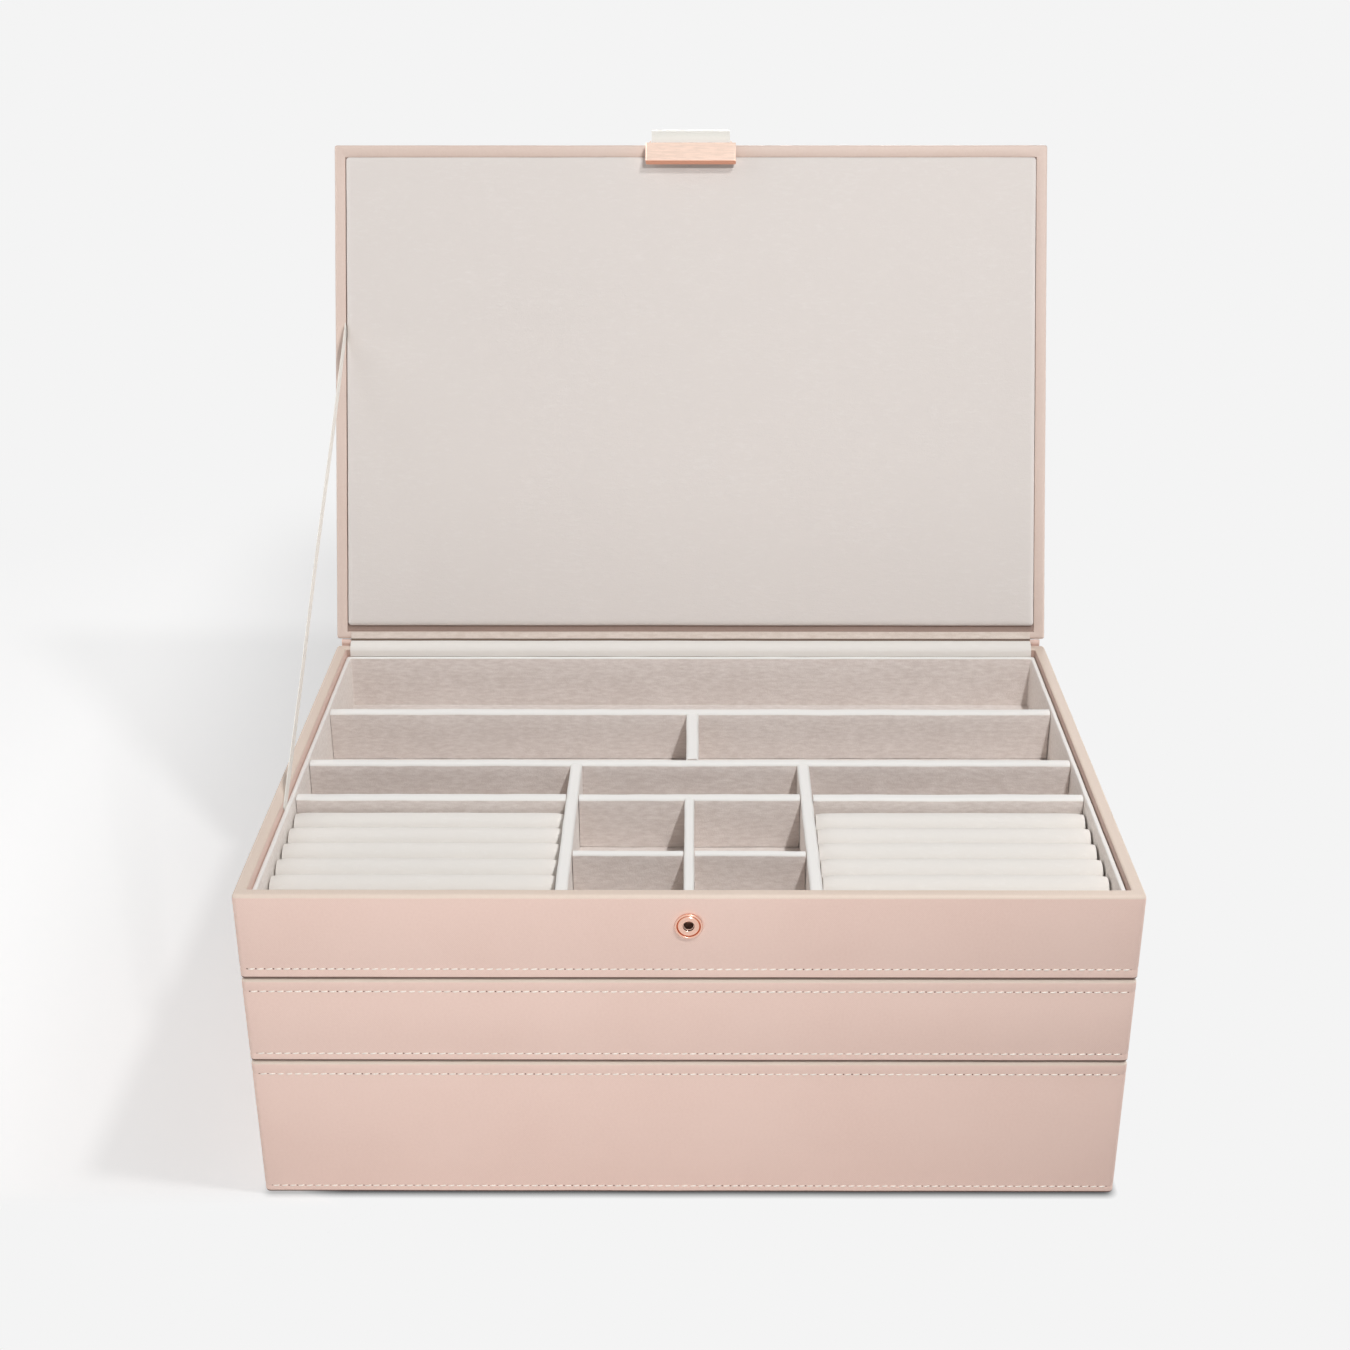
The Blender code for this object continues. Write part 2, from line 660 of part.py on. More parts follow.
def build_strap(leather, parent):
    """The leather tab as it hangs with the lid open, in the shut lid's own directions."""
    pivot = tab_pivot_place()
    turned_back = Matrix.Rotation(TAB_SWING, 2)
    middle = sleeve_place() - pivot
    entry = middle + Vector((0, SLEEVE_LENGTH / 2))
    tip = middle + Vector((0, SLEEVE_LENGTH / 2 - STRAP_IN_SLEEVE))
    entry.rotate(turned_back)
    tip.rotate(turned_back)
    entry += pivot
    tip += pivot
    level = LID_TOP + SEAT_GAP + STRAP / 2
    sweep = math.pi / 2 + TAB_SWING
    radius = (level - entry.y) / (1 - math.cos(sweep))
    bend_start = entry.x + radius * math.sin(sweep)
    steps = 3 * ARC_STEPS
    path = [Vector((LID_FRONT + STRAP_ROOT, level))]
    for reach, z in arc((bend_start, level - radius), radius, 90, 90 + math.degrees(sweep), steps):
        path.append(Vector((reach, z)))
    path.append(tip)
    finish_object("tab_strap", strip(path, STRAP, STRAP_WIDTH / 2), leather, parent)


def block(width, thickness, low, high, edge_round):
    """An upright bar about Z with its long edges rounded."""
    profile = arc((edge_round, low + edge_round), edge_round, 270, 180)
    profile += arc((edge_round, high - edge_round), edge_round, 180, 90)
    rings = []
    for inset, z in profile:
        radius = edge_round
        flat = rounded_rectangle(
            inset - width / 2, width / 2 - inset, inset - thickness / 2, thickness / 2 - inset, radius
        )
        rings.append([(x, y, z) for x, y in flat])
    return loft(rings)


def cut_from(target, name, outline, front, back):
    """Take a prism out of a solid; the outline holds (X, Z) points, and the prism runs along Y."""
    material = target.data.materials[0]
    builder = extrude_outline(outline, front, back, "Y")
    cutter = finish_object(name, builder, material, target.parent, target.location)
    cutter.hide_render = True
    cutter.display_type = "WIRE"
    cut = target.modifiers.new(name, "BOOLEAN")
    cut.operation = "DIFFERENCE"
    cut.solver = "EXACT"
    cut.object = cutter


def ear_cut_outline(side, plate_top):
    """What is cut off an ear, beyond its slant from the sleeve's end up to the strap."""
    top = Vector((side * (SLEEVE_WIDTH / 2 - SLEEVE_EAR_SLANT), plate_top + SLEEVE_EAR))
    foot = Vector((side * SLEEVE_WIDTH / 2, plate_top))
    along = (top - foot).normalized() * CUT_OVERRUN
    beyond = Vector((side * SLEEVE_EAR, SLEEVE_EAR))
    return [foot - along, foot - along + beyond, top + along + beyond, top + along]


def build_sleeve(metal, parent):
    """The metal end of the tab: slotted for the strap, with a slanted ear at each end of its back."""
    middle = sleeve_place() - tab_pivot_place()
    place = (0, middle.x, middle.y)
    low = -SLEEVE_LENGTH / 2
    plate_top = SLEEVE_LENGTH / 2
    sleeve = finish_object(
        "tab_sleeve",
        block(SLEEVE_WIDTH, SLEEVE_THICKNESS, low, plate_top + SLEEVE_EAR, SLEEVE_EDGE_ROUND),
        metal, parent, place,
    )
    half_slot = STRAP_WIDTH / 2 + SEAT_GAP
    half_strap = STRAP / 2 + SEAT_GAP
    outside = SLEEVE_THICKNESS / 2 + CUT_OVERRUN
    beside = SLEEVE_WIDTH / 2 + CUT_OVERRUN
    above = plate_top + SLEEVE_EAR + CUT_OVERRUN
    slot_floor = plate_top - STRAP_IN_SLEEVE - SEAT_GAP
    front = [(-beside, plate_top), (beside, plate_top), (beside, above), (-beside, above)]
    window = [(-half_slot, plate_top), (half_slot, plate_top), (half_slot, above), (-half_slot, above)]
    slot = [(-half_slot, slot_floor), (half_slot, slot_floor), (half_slot, above), (-half_slot, above)]
    cut_from(sleeve, "sleeve_front", front, -outside, half_strap)
    cut_from(sleeve, "sleeve_window", window, -half_strap, outside)
    cut_from(sleeve, "sleeve_slot", slot, -half_strap, half_strap)
    for name, side in (("sleeve_left_slant", -1), ("sleeve_right_slant", 1)):
        cut_from(sleeve, name, ear_cut_outline(side, plate_top), -outside, outside)


def build_stud(metal, parent):
    """The male snap: a foot on the sleeve's back, a neck and a bulb that enters the socket."""
    middle = sleeve_place() - tab_pivot_place()
    face = middle.x + SLEEVE_THICKNESS / 2 + SEAT_GAP
    bulb = STUD_LENGTH - STUD_RADIUS / 2
    profile = [(0, 0), (STUD_FOOT_RADIUS, 0), (STUD_FOOT_RADIUS, STUD_FOOT / 2)]
    profile += [(STUD_NECK_RADIUS, STUD_FOOT), (STUD_NECK_RADIUS, bulb - STUD_RADIUS / 3)]
    profile += [(STUD_RADIUS, bulb), (STUD_RADIUS / 2, STUD_LENGTH), (0, STUD_LENGTH)]
    finish_object("snap_stud", turned(profile), metal, parent, (0, face, middle.y))


def main():
    clear_scene()
    leather = make_material("blush leather", (0.745, 0.552, 0.485), 0.48)
    suede = make_material("cream suede", (0.584, 0.474, 0.434), 0.95)
    roll_suede = make_material("pale roll suede", (0.791, 0.760, 0.716), 0.95)
    ribbon_cloth = make_material("ivory ribbon", (0.871, 0.831, 0.730), 0.55)
    metal = make_material("rose gold", (0.880, 0.560, 0.430), 0.22, 1.0)
    dark_metal = make_material("dark steel", (0.045, 0.040, 0.038), 0.35, 1.0)
    felt = make_material("taupe felt", (0.262, 0.208, 0.178), 0.97)

    bottom = make_empty("bottom_tray_place", None, (0, 0, BOTTOM_FOOT))
    middle = make_empty("middle_tray_place", None, (0, 0, MIDDLE_FOOT))
    top = make_empty("top_tray_place", None, (0, 0, TOP_FOOT))
    hinge = make_empty("lid_hinge_line", None, (0, HINGE_Y, HINGE_Z), -LID_OPEN_ANGLE)
    pivot = tab_pivot_place()
    tab = make_empty("tab_pivot_line", hinge, (0, pivot.x, pivot.y), TAB_SWING)

    build_base_felt(felt, bottom)
    build_carcass("bottom", BOTTOM_TRAY_HEIGHT, leather, bottom)
    build_liner("bottom", BOTTOM_TRAY_HEIGHT, suede, bottom)
    build_bottom_cells(BOTTOM_TRAY_HEIGHT, suede, bottom)

    build_plinth("middle", suede, middle)
    build_carcass("middle", MIDDLE_TRAY_HEIGHT, leather, middle)
    build_liner("middle", MIDDLE_TRAY_HEIGHT, suede, middle)
    build_middle_cells(MIDDLE_TRAY_HEIGHT, suede, middle)

    build_plinth("top", suede, top)
    top_carcass = build_carcass("top", TOP_TRAY_HEIGHT, leather, top)
    bore_for_socket(top_carcass, top)
    build_liner("top", TOP_TRAY_HEIGHT, suede, top)
    build_top_cells(TOP_TRAY_HEIGHT, suede, roll_suede, top)
    build_socket(metal, dark_metal, top)

    build_lid(leather, hinge)
    build_pad(suede, hinge)
    build_spine(leather)
    build_hinge_strip(suede)
    build_ribbon(ribbon_cloth)
    build_strap(leather, hinge)
    build_sleeve(metal, tab)
    build_stud(metal, tab)


main()
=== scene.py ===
import json
import math

import bmesh
import bpy
from mathutils import Matrix, Vector, noise


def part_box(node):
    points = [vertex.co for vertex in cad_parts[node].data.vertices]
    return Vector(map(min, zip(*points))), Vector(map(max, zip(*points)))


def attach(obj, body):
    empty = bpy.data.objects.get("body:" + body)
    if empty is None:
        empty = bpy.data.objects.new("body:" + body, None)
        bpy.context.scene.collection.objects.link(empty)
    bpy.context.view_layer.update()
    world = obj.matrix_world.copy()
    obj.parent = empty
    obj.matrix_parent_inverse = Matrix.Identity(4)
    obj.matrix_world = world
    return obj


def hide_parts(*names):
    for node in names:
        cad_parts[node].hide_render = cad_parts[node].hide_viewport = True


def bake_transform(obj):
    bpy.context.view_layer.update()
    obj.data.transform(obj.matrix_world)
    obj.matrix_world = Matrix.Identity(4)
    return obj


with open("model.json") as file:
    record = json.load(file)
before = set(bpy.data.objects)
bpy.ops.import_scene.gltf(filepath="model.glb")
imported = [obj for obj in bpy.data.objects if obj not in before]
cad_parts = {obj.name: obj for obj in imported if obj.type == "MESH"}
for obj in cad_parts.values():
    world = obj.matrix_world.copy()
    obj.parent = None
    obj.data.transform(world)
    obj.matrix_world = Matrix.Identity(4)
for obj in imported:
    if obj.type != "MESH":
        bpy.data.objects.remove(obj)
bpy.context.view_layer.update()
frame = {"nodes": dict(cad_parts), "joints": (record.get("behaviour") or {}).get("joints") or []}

# Lengths are in metres, and MM writes one in millimetres.
MM = 0.001

# Camera, solved from the box's straight edges; the picture is square
CAMERA_PLACE = Vector((2.98, -809.62, 556.62)) * MM
CAMERA_DOWN = math.radians(25.473)
CAMERA_LEFT = math.radians(0.199)
CAMERA_ROLL = math.radians(-0.042)
CAMERA_LENS = 51.37
CAMERA_SHIFT = (-0.0111, 0.0333)

# Colours are linear red, green and blue. A pair holds a material's lighter and darker tone. The inner
# leather, the pocket, the turned-in foot, the crease and the shaded metal are darker than the material they
# belong to, for the shade that the photograph has there.
LEATHER_TONES = ((0.809, 0.608, 0.534), (0.746, 0.536, 0.464))
# Painted highlight: the rims' up-facing leather is paler and less pink than the same hide elsewhere.
LIT_RIM_TONES = ((0.751, 0.626, 0.537), (0.704, 0.573, 0.482))
# Painted shade: the lid's leather is darker than the same hide on the trays.
SHADED_LID_TONES = ((0.721, 0.580, 0.511), (0.666, 0.518, 0.447))
SHADED_INNER_TONES = ((0.540, 0.385, 0.325), (0.470, 0.325, 0.270))
POCKET_SHADE_TONES = ((0.400, 0.290, 0.245), (0.340, 0.240, 0.200))
# These near-black tones are painted shade under the feet and in the needle holes.
PAINTED_SHADE_LEATHER_TONES = ((0.167, 0.096, 0.075), (0.130, 0.072, 0.055))
SUEDE_TONES = ((0.845, 0.780, 0.742), (0.715, 0.640, 0.600))
# Painted light: paler suede for faces turned left or right.
LIT_SUEDE_SIDE_TONES = ((0.925, 0.868, 0.822), (0.800, 0.730, 0.680))
# Painted highlight: paler suede for the tops.
LIT_SUEDE_TOP_TONES = ((0.931, 0.919, 0.898), (0.898, 0.881, 0.855))
STRIP_TONES = ((0.825, 0.728, 0.660), (0.715, 0.610, 0.540))
CREASE_SHADE_TONES = ((0.260, 0.200, 0.160), (0.211, 0.157, 0.124))
PAD_TONES = ((0.782, 0.737, 0.706), (0.731, 0.676, 0.642))
ROLL_TONES = ((0.893, 0.870, 0.838), (0.842, 0.807, 0.766))
TAB_TONES = ((0.839, 0.812, 0.758), (0.789, 0.753, 0.689))
THREAD_COLOUR = (0.945, 0.871, 0.798)
RIBBON_COLOUR = (0.868, 0.835, 0.775)
METAL_COLOUR = (1.000, 0.765, 0.640)
SNAP_METAL_COLOUR = (0.930, 0.600, 0.480)
METAL_SHADE = (0.829, 0.431, 0.303)
# Painted shade: near-black for the inside of the socket's mouth.
MOUTH_SHADE_COLOUR = (0.060, 0.050, 0.048)
FELT_COLOUR = (0.300, 0.250, 0.215)
BACKDROP = (0.905, 0.905, 0.905)
# The rays that see the backdrop and the floor as they look; the others see what lights the box
SHOWN_TO = ("Camera", "Glossy", "Transmission")
FLOOR_REACH = 6.0
FLOOR_COLOUR = (0.86, 0.86, 0.86)
FLOOR_SHADOW_TONE = (0.80, 0.80, 0.80)
FLOOR_BASE_TONE = 0.50
FLOOR_FAR_TONE = 0.72
# Right of and in front of these spans, and past the fade round the shadow's middle, the floor is the
# backdrop's even tone. The far tone replaces the base tone over its own span, toward the left.
SHADOW_RIGHT = (-0.185, -0.150)
SHADOW_FRONT = (-0.122, -0.140)
SHADOW_MIDDLE = (-0.36, 0.26, 0)
SHADOW_FADE = (0.36, 0.60)
FAR_TONE_SPAN = (-0.20, -0.42)
# Painted contact shadow: ambient occlusion darkens the floor's even tone where the foot stands on it, this
# far and this deeply
CONTACT_REACH = 0.0035
CONTACT_DEPTH = 1.3

# Light: an even dome, a small overhead lamp that throws the floor's shadow, a key in front, fills for the
# sides and the back, and a low card in front. Each lamp has its place, its aim, its size and its watts.
DOME = 0.17
LAMPS = {
    "overhead": ((0.31, -0.21, 1.05), (0, 0.05, 0.15), 0.09, 2.4),
    "key": ((0.30, -0.68, 1.07), (0, 0, 0.15), 0.045, 5.5),
    "left_fill": ((-0.55, 0.14, 0.62), (0, 0.05, 0.15), 0.5, 1.3),
    "right_fill": ((0.95, 0.08, 0.09), (0.18, 0.05, 0.10), 0.25, 3.0),
    "left_side": ((-0.95, 0.08, 0.09), (-0.18, 0.05, 0.10), 0.25, 1.5),
    "back_fill": ((0.15, 1.00, 0.62), (0, 0.15, 0.18), 0.5, 4.5),
}
CARD = ((-0.16, -0.66, 0.05), (0, -0.13, 0.08), 0.5, 2.4)

# Leather and cloth thicknesses, rounds and dents
FOOT_ROUND = 1.15 * MM
RIM_OUTER_ROUND = 1.8 * MM
RIM_INNER_ROUND = 1.0 * MM
WALL = 5.5 * MM
CARCASS_FLOOR = 6.5 * MM
CORNER_RADIUS = 2.2 * MM
INNER_CORNER_RADIUS = 1.0 * MM
LINER = 2.0 * MM
LINER_EDGE = 0.95 * MM
RIBBON_WIDTH = 6.0 * MM
RIBBON_THICKNESS = 0.32 * MM
RIBBON_SWAY = 0.18 * MM
STRAP_THICKNESS = 1.4 * MM
SPINE_THICKNESS = 0.8 * MM
STRIP_THICKNESS = 0.5 * MM
STITCH_DENT = 0.16 * MM
STITCH_DENT_REACH = 0.8 * MM
# Blender's noise starts from the clock unless it is seeded
noise.seed_set(1)
# How far each kind of surface is moved by noise, and the noise's length
RIPPLES = {
    "leather": (0.07 * MM, 26 * MM),
    "liner": (0.10 * MM, 18 * MM),
    "divider": (0.24 * MM, 15 * MM),
    "roll": (0.12 * MM, 12 * MM),
    "pad": (0.10 * MM, 30 * MM),
    "spine": (0.08 * MM, 14 * MM),
    "strip": (0.10 * MM, 16 * MM),
    "strap": (0.06 * MM, 12 * MM),
}

# Stitches
STITCH_PITCH = 3.7 * MM
STITCH_LENGTH = 2.75 * MM
STITCH_WIDTH = 0.74 * MM
STITCH_PROUD = 0.20 * MM
NEEDLE_HOLE = 0.36 * MM
STITCH_SLANT = math.radians(7)
STITCH_FROM_CORNER = 3.4 * MM
# Heights of the stitch rows on each tray, above its own foot or below its own rim
ROW_ABOVE_FOOT = {"bottom": 3.6 * MM, "middle": 4.1 * MM, "top": 4.95 * MM}
ROW_BELOW_RIM = {"bottom": 6.2 * MM, "middle": 5.9 * MM}

# The top tray's padded tops stand this much above their boards
TOP_RISES = {"back": 1.0 * MM, "second": 1.1 * MM, "short": 1.1 * MM, "third": 0.8 * MM, "fourth": 0.5 * MM}
TOP_RISE = 1.3 * MM
ROLL_RISE = 1.1 * MM
ROLL_PINCH = 0.06
ROLL_PINCH_REACH = 1.6 * MM
ROLL_END_DROP = 0.55 * MM
ROLL_SAG = 0.12 * MM
# The short halves across the middle cells are this much thinner
SLIMMER = 1.5 * MM
BORE_RADIUS = 3.75 * MM
SOCKET_WIDER = 0.35 * MM
POCKET_GAP = 0.55 * MM
POCKET_DEPTH = 1.2 * MM
LID_FACE_ROUND = 1.3 * MM
LID_TOP_ROUND = 2.0 * MM
PAD_SWELL = 1.0 * MM
PAD_CROWN = 0.35 * MM
PAD_EDGE = 3.6 * MM
PAD_REAR_GAP = 3.3 * MM
PAD_OVERLAP = 0.5 * MM
# The strip's way over the back rim, in millimetres behind the inner wall and above the rim
STRIP_OVER_RIM = ((5.35, 2.05), (3.9, 2.0), (2.2, 1.45), (0.75, 0.55), (-0.28, -0.9), (-0.55, -2.4))
# The crease's band of painted shade: its middle's place below the lid's edge, and half its height
CREASE_DROP = 0.85 * MM
CREASE_HALF = 0.60 * MM
# The photograph has the metal end this much further down the strap
SLEEVE_DROP = 3.1 * MM
PLATE_HEIGHT = 10.7 * MM
STRAP_IN_SLEEVE = 6.5 * MM

# Points along the sides of a ring and round an arc, and the angle at which an edge stays sharp
SIDE_STEPS = (64, 46)
ARC_STEPS = 6
SHARP_EDGE = math.radians(50)

# Texture scales, and the slant of the leather's grain
IN_METRES = (1, 1, 1)
IN_MILLIMETRES = (1 / MM, 1 / MM, 1 / MM)
GRAIN_SLANT = math.radians(38)


def add_object(name, data):
    added = bpy.data.objects.new(name, data)
    bpy.context.scene.collection.objects.link(added)
    return added


def joint_named(name):
    return next(j for j in frame["joints"] if j["name"] == name)


def joint_swing(name):
    """The far end of a hinge's range, in radians, with its sign."""
    return math.radians(max(joint_named(name)["range_deg"], key=abs))


HINGE = Vector(joint_named("lid_hinge")["pos_m"])
TAB_PIVOT = Vector(joint_named("tab_swing")["pos_m"])
# Takes a point of the shut lid, measured from the hinge, to where the open lid has it
LID_STANDS = Matrix.Translation(HINGE) @ Matrix.Rotation(-joint_swing("lid_hinge"), 4, "X")
# The same for the snapped clasp, measured from the tab's pivot
CLASP_TURN = Matrix.Rotation(-joint_swing("tab_swing") - joint_swing("lid_hinge"), 4, "X")
CLASP_HANGS = Matrix.Translation(TAB_PIVOT) @ CLASP_TURN


def local_box(node, place):
    """Lowest and highest corner of a node in the directions of a placing matrix."""
    back = place.inverted()
    spots = [back @ vertex.co for vertex in frame["nodes"][node].data.vertices]
    low = Vector([min(spot[axis] for spot in spots) for axis in range(3)])
    high = Vector([max(spot[axis] for spot in spots) for axis in range(3)])
    return low, high


# Materials


def new_material(name):
    material = bpy.data.materials.new(name)
    material.use_nodes = True
    nodes = material.node_tree.nodes
    return material, nodes, material.node_tree.links, nodes["Principled BSDF"]


def coordinates(nodes, links, kind, scale):
    """Texture coordinates in units of 1 / scale metres."""
    source = nodes.new("ShaderNodeTexCoord")
    mapping = nodes.new("ShaderNodeMapping")
    mapping.inputs["Scale"].default_value = scale
    links.new(source.outputs[kind], mapping.inputs["Vector"])
    return mapping.outputs["Vector"]


def noise_node(nodes, links, vector, scale, detail=2.0, roughness=0.5):
    texture = nodes.new("ShaderNodeTexNoise")
    set_inputs(texture, {"Scale": scale, "Detail": detail, "Roughness": roughness})
    links.new(vector, texture.inputs["Vector"])
    return texture.outputs["Fac"]


def math_node(nodes, links, operation, first, second):
    node = nodes.new("ShaderNodeMath")
    node.operation = operation
    for socket, value in zip(node.inputs, (first, second)):
        if isinstance(value, (int, float)):
            socket.default_value = value
        else:
            links.new(value, socket)
    return node.outputs["Value"]


def largest(nodes, links, first, second, third):
    return math_node(nodes, links, "MAXIMUM", math_node(nodes, links, "MAXIMUM", first, second), third)


def weighted_sum(nodes, links, *parts):
    """The sum of values times their weights."""
    total = None
    for value, weight in parts:
        share = math_node(nodes, links, "MULTIPLY", value, weight)
        total = share if total is None else math_node(nodes, links, "ADD", total, share)
    return total


def set_inputs(node, values):
    for name, value in values.items():
        node.inputs[name].default_value = value


def colour_between(nodes, links, factor, low, high, span=(0.35, 0.65)):
    """A ramp from one colour to another over a span of the factor."""
    ramp = nodes.new("ShaderNodeValToRGB")
    ramp.color_ramp.elements[0].position = span[0]
    ramp.color_ramp.elements[0].color = (*low, 1)
    ramp.color_ramp.elements[1].position = span[1]
    ramp.color_ramp.elements[1].color = (*high, 1)
    links.new(factor, ramp.inputs["Fac"])
    return ramp.outputs["Color"]


def bump(nodes, links, shader, height, strength, distance):
    node = nodes.new("ShaderNodeBump")
    set_inputs(node, {"Strength": strength, "Distance": distance})
    links.new(height, node.inputs["Height"])
    links.new(node.outputs["Normal"], shader.inputs["Normal"])


def darker(colour, share):
    return tuple(channel * share for channel in colour)


def leather_material(name, colour, valley):
    """Cross-hatched grain: two slanted sets of fine pressed lines, a little uneven, on UVs in metres."""
    material, nodes, links, shader = new_material(name)
    grain = []
    for turn in (GRAIN_SLANT, -GRAIN_SLANT):
        source = nodes.new("ShaderNodeTexCoord")
        mapping = nodes.new("ShaderNodeMapping")
        set_inputs(mapping, {"Rotation": (0, 0, turn), "Scale": IN_MILLIMETRES})
        links.new(source.outputs["UV"], mapping.inputs["Vector"])
        wave = nodes.new("ShaderNodeTexWave")
        set_inputs(wave, {"Scale": 0.52, "Distortion": 1.6, "Detail": 2.0, "Detail Scale": 1.1})
        links.new(mapping.outputs["Vector"], wave.inputs["Vector"])
        grain.append(wave.outputs["Fac"])
    pebble = math_node(nodes, links, "MULTIPLY", grain[0], grain[1])
    metric = coordinates(nodes, links, "Object", IN_METRES)
    cloud = noise_node(nodes, links, metric, 22, 3)
    speck = noise_node(nodes, links, metric, 900, 2)
    tone = weighted_sum(nodes, links, (cloud, 0.35), (pebble, 0.35), (speck, 0.35))
    links.new(colour_between(nodes, links, tone, valley, colour, (0.18, 0.52)), shader.inputs["Base Color"])
    rough = math_node(nodes, links, "MULTIPLY", cloud, 0.16)
    links.new(math_node(nodes, links, "ADD", rough, 0.44), shader.inputs["Roughness"])
    shader.inputs["Specular IOR Level"].default_value = 0.38
    bump(nodes, links, shader, pebble, 0.35, 0.10 * MM)
    return material


def suede_material(name, light, dark, nap=1.0):
    """Short nap: soft clouds where it is brushed one way or the other, and a fine fibre."""
    material, nodes, links, shader = new_material(name)
    metric = coordinates(nodes, links, "Object", IN_METRES)
    brushed = coordinates(nodes, links, "Object", (0.32, 1, 1))
    cloud = noise_node(nodes, links, metric, 46, 3, 0.55)
    streak = noise_node(nodes, links, brushed, 640, 2, 0.6)
    fibre = noise_node(nodes, links, metric, 1900, 2, 0.6)
    tone = weighted_sum(nodes, links, (cloud, 0.18), (streak, 0.58 * nap), (fibre, 0.26 * nap))
    links.new(colour_between(nodes, links, tone, dark, light, (0.40, 0.66)), shader.inputs["Base Color"])
    sheen = {"Sheen Weight": 0.22, "Sheen Roughness": 0.5}
    set_inputs(shader, {"Roughness": 0.97, "Specular IOR Level": 0.12, **sheen})
    height = math_node(nodes, links, "ADD", streak, fibre)
    bump(nodes, links, shader, height, 0.55 * nap, 0.30 * MM)
    return material


def ribbon_material():
    """A close plain weave, on UVs in metres."""
    material, nodes, links, shader = new_material("ivory_ribbon")
    threads = []
    for direction in ("X", "Y"):
        mapped = coordinates(nodes, links, "UV", IN_MILLIMETRES)
        wave = nodes.new("ShaderNodeTexWave")
        wave.bands_direction = direction
        wave.inputs["Scale"].default_value = 0.75
        links.new(mapped, wave.inputs["Vector"])
        threads.append(wave.outputs["Fac"])
    weave = math_node(nodes, links, "MAXIMUM", threads[0], threads[1])
    dark = darker(RIBBON_COLOUR, 0.88)
    woven = colour_between(nodes, links, weave, dark, RIBBON_COLOUR, (0.2, 0.9))
    links.new(woven, shader.inputs["Base Color"])
    set_inputs(shader, {"Roughness": 0.6, "Sheen Weight": 0.15})
    bump(nodes, links, shader, weave, 0.3, 0.08 * MM)
    return material


def thread_material():
    """Waxed sewing thread with a fine twist."""
    material, nodes, links, shader = new_material("pale_thread")
    metric = coordinates(nodes, links, "Object", IN_METRES)
    twist = noise_node(nodes, links, metric, 1500, 2)
    dark = darker(THREAD_COLOUR, 0.86)
    links.new(colour_between(nodes, links, twist, dark, THREAD_COLOUR), shader.inputs["Base Color"])
    shader.inputs["Roughness"].default_value = 0.55
    return material


def metal_material(name, colour, roughness):
    """Plated metal with faint polishing marks."""
    material, nodes, links, shader = new_material(name)
    brushed = coordinates(nodes, links, "Object", (0.12, 1, 1))
    marks = noise_node(nodes, links, brushed, 1300, 3)
    rough = math_node(nodes, links, "MULTIPLY", marks, 0.10)
    links.new(math_node(nodes, links, "ADD", rough, roughness), shader.inputs["Roughness"])
    dark = darker(colour, 0.94)
    links.new(colour_between(nodes, links, marks, dark, colour), shader.inputs["Base Color"])
    shader.inputs["Metallic"].default_value = 1.0
    return material


def felt_material():
    material, nodes, links, shader = new_material("taupe_felt")
    metric = coordinates(nodes, links, "Object", IN_METRES)
    fibre = noise_node(nodes, links, metric, 1200, 3, 0.65)
    dark = darker(FELT_COLOUR, 0.75)
    links.new(colour_between(nodes, links, fibre, dark, FELT_COLOUR), shader.inputs["Base Color"])
    shader.inputs["Roughness"].default_value = 1.0
    bump(nodes, links, shader, fibre, 0.5, 0.3 * MM)
    return material


LEATHER = leather_material("blush_leather", *LEATHER_TONES)
LIT_RIM_LEATHER = leather_material("blush_leather_rim_painted_highlight", *LIT_RIM_TONES)
SHADED_LID_LEATHER = leather_material("blush_leather_lid_painted_shade", *SHADED_LID_TONES)
SHADED_INNER_LEATHER = leather_material("blush_leather_inside_painted_shade", *SHADED_INNER_TONES)
POCKET_SHADE = leather_material("lid_pocket_painted_shade", *POCKET_SHADE_TONES)
PAINTED_SHADE_LEATHER = leather_material("leather_painted_shade", *PAINTED_SHADE_LEATHER_TONES)
TAB_LEATHER = leather_material("cream_leather", *TAB_TONES)
SUEDE = suede_material("cream_suede", *SUEDE_TONES)
LIT_SUEDE_SIDE = suede_material("cream_suede_side_painted_light", *LIT_SUEDE_SIDE_TONES)
LIT_SUEDE_TOP = suede_material("suede_top_painted_highlight", *LIT_SUEDE_TOP_TONES, 0.6)
STRIP_SUEDE = suede_material("hinge_suede", *STRIP_TONES)
CREASE_SHADE = suede_material("suede_crease_painted_shade", *CREASE_SHADE_TONES, 0.6)
PAD_SUEDE = suede_material("lid_pad_suede", *PAD_TONES, 0.7)
ROLL_SUEDE = suede_material("roll_suede", *ROLL_TONES, 0.7)
THREAD = thread_material()
RIBBON = ribbon_material()
METAL = metal_material("rose_gold", METAL_COLOUR, 0.16)
SNAP_METAL = metal_material("rose_gold_snap", SNAP_METAL_COLOUR, 0.20)
SHADED_METAL = metal_material("shaded_rose_gold", METAL_SHADE, 0.30)
MOUTH_SHADE = metal_material("socket_mouth_painted_shade", MOUTH_SHADE_COLOUR, 0.30)
FELT = felt_material()


# Mesh tools


def arc(centre, radius, start, end, steps=ARC_STEPS):
    """Points of an arc in a plane, angles in degrees."""
    points = []
    for step in range(steps + 1):
        angle = math.radians(start + (end - start) * step / steps)
        points.append((centre[0] + radius * math.cos(angle), centre[1] + radius * math.sin(angle)))
    return points


def between(start, end, steps):
    """Points on a straight run, its two ends left out."""
    return [
        (start[0] + (end[0] - start[0]) * step / steps, start[1] + (end[1] - start[1]) * step / steps)
        for step in range(1, steps)
    ]


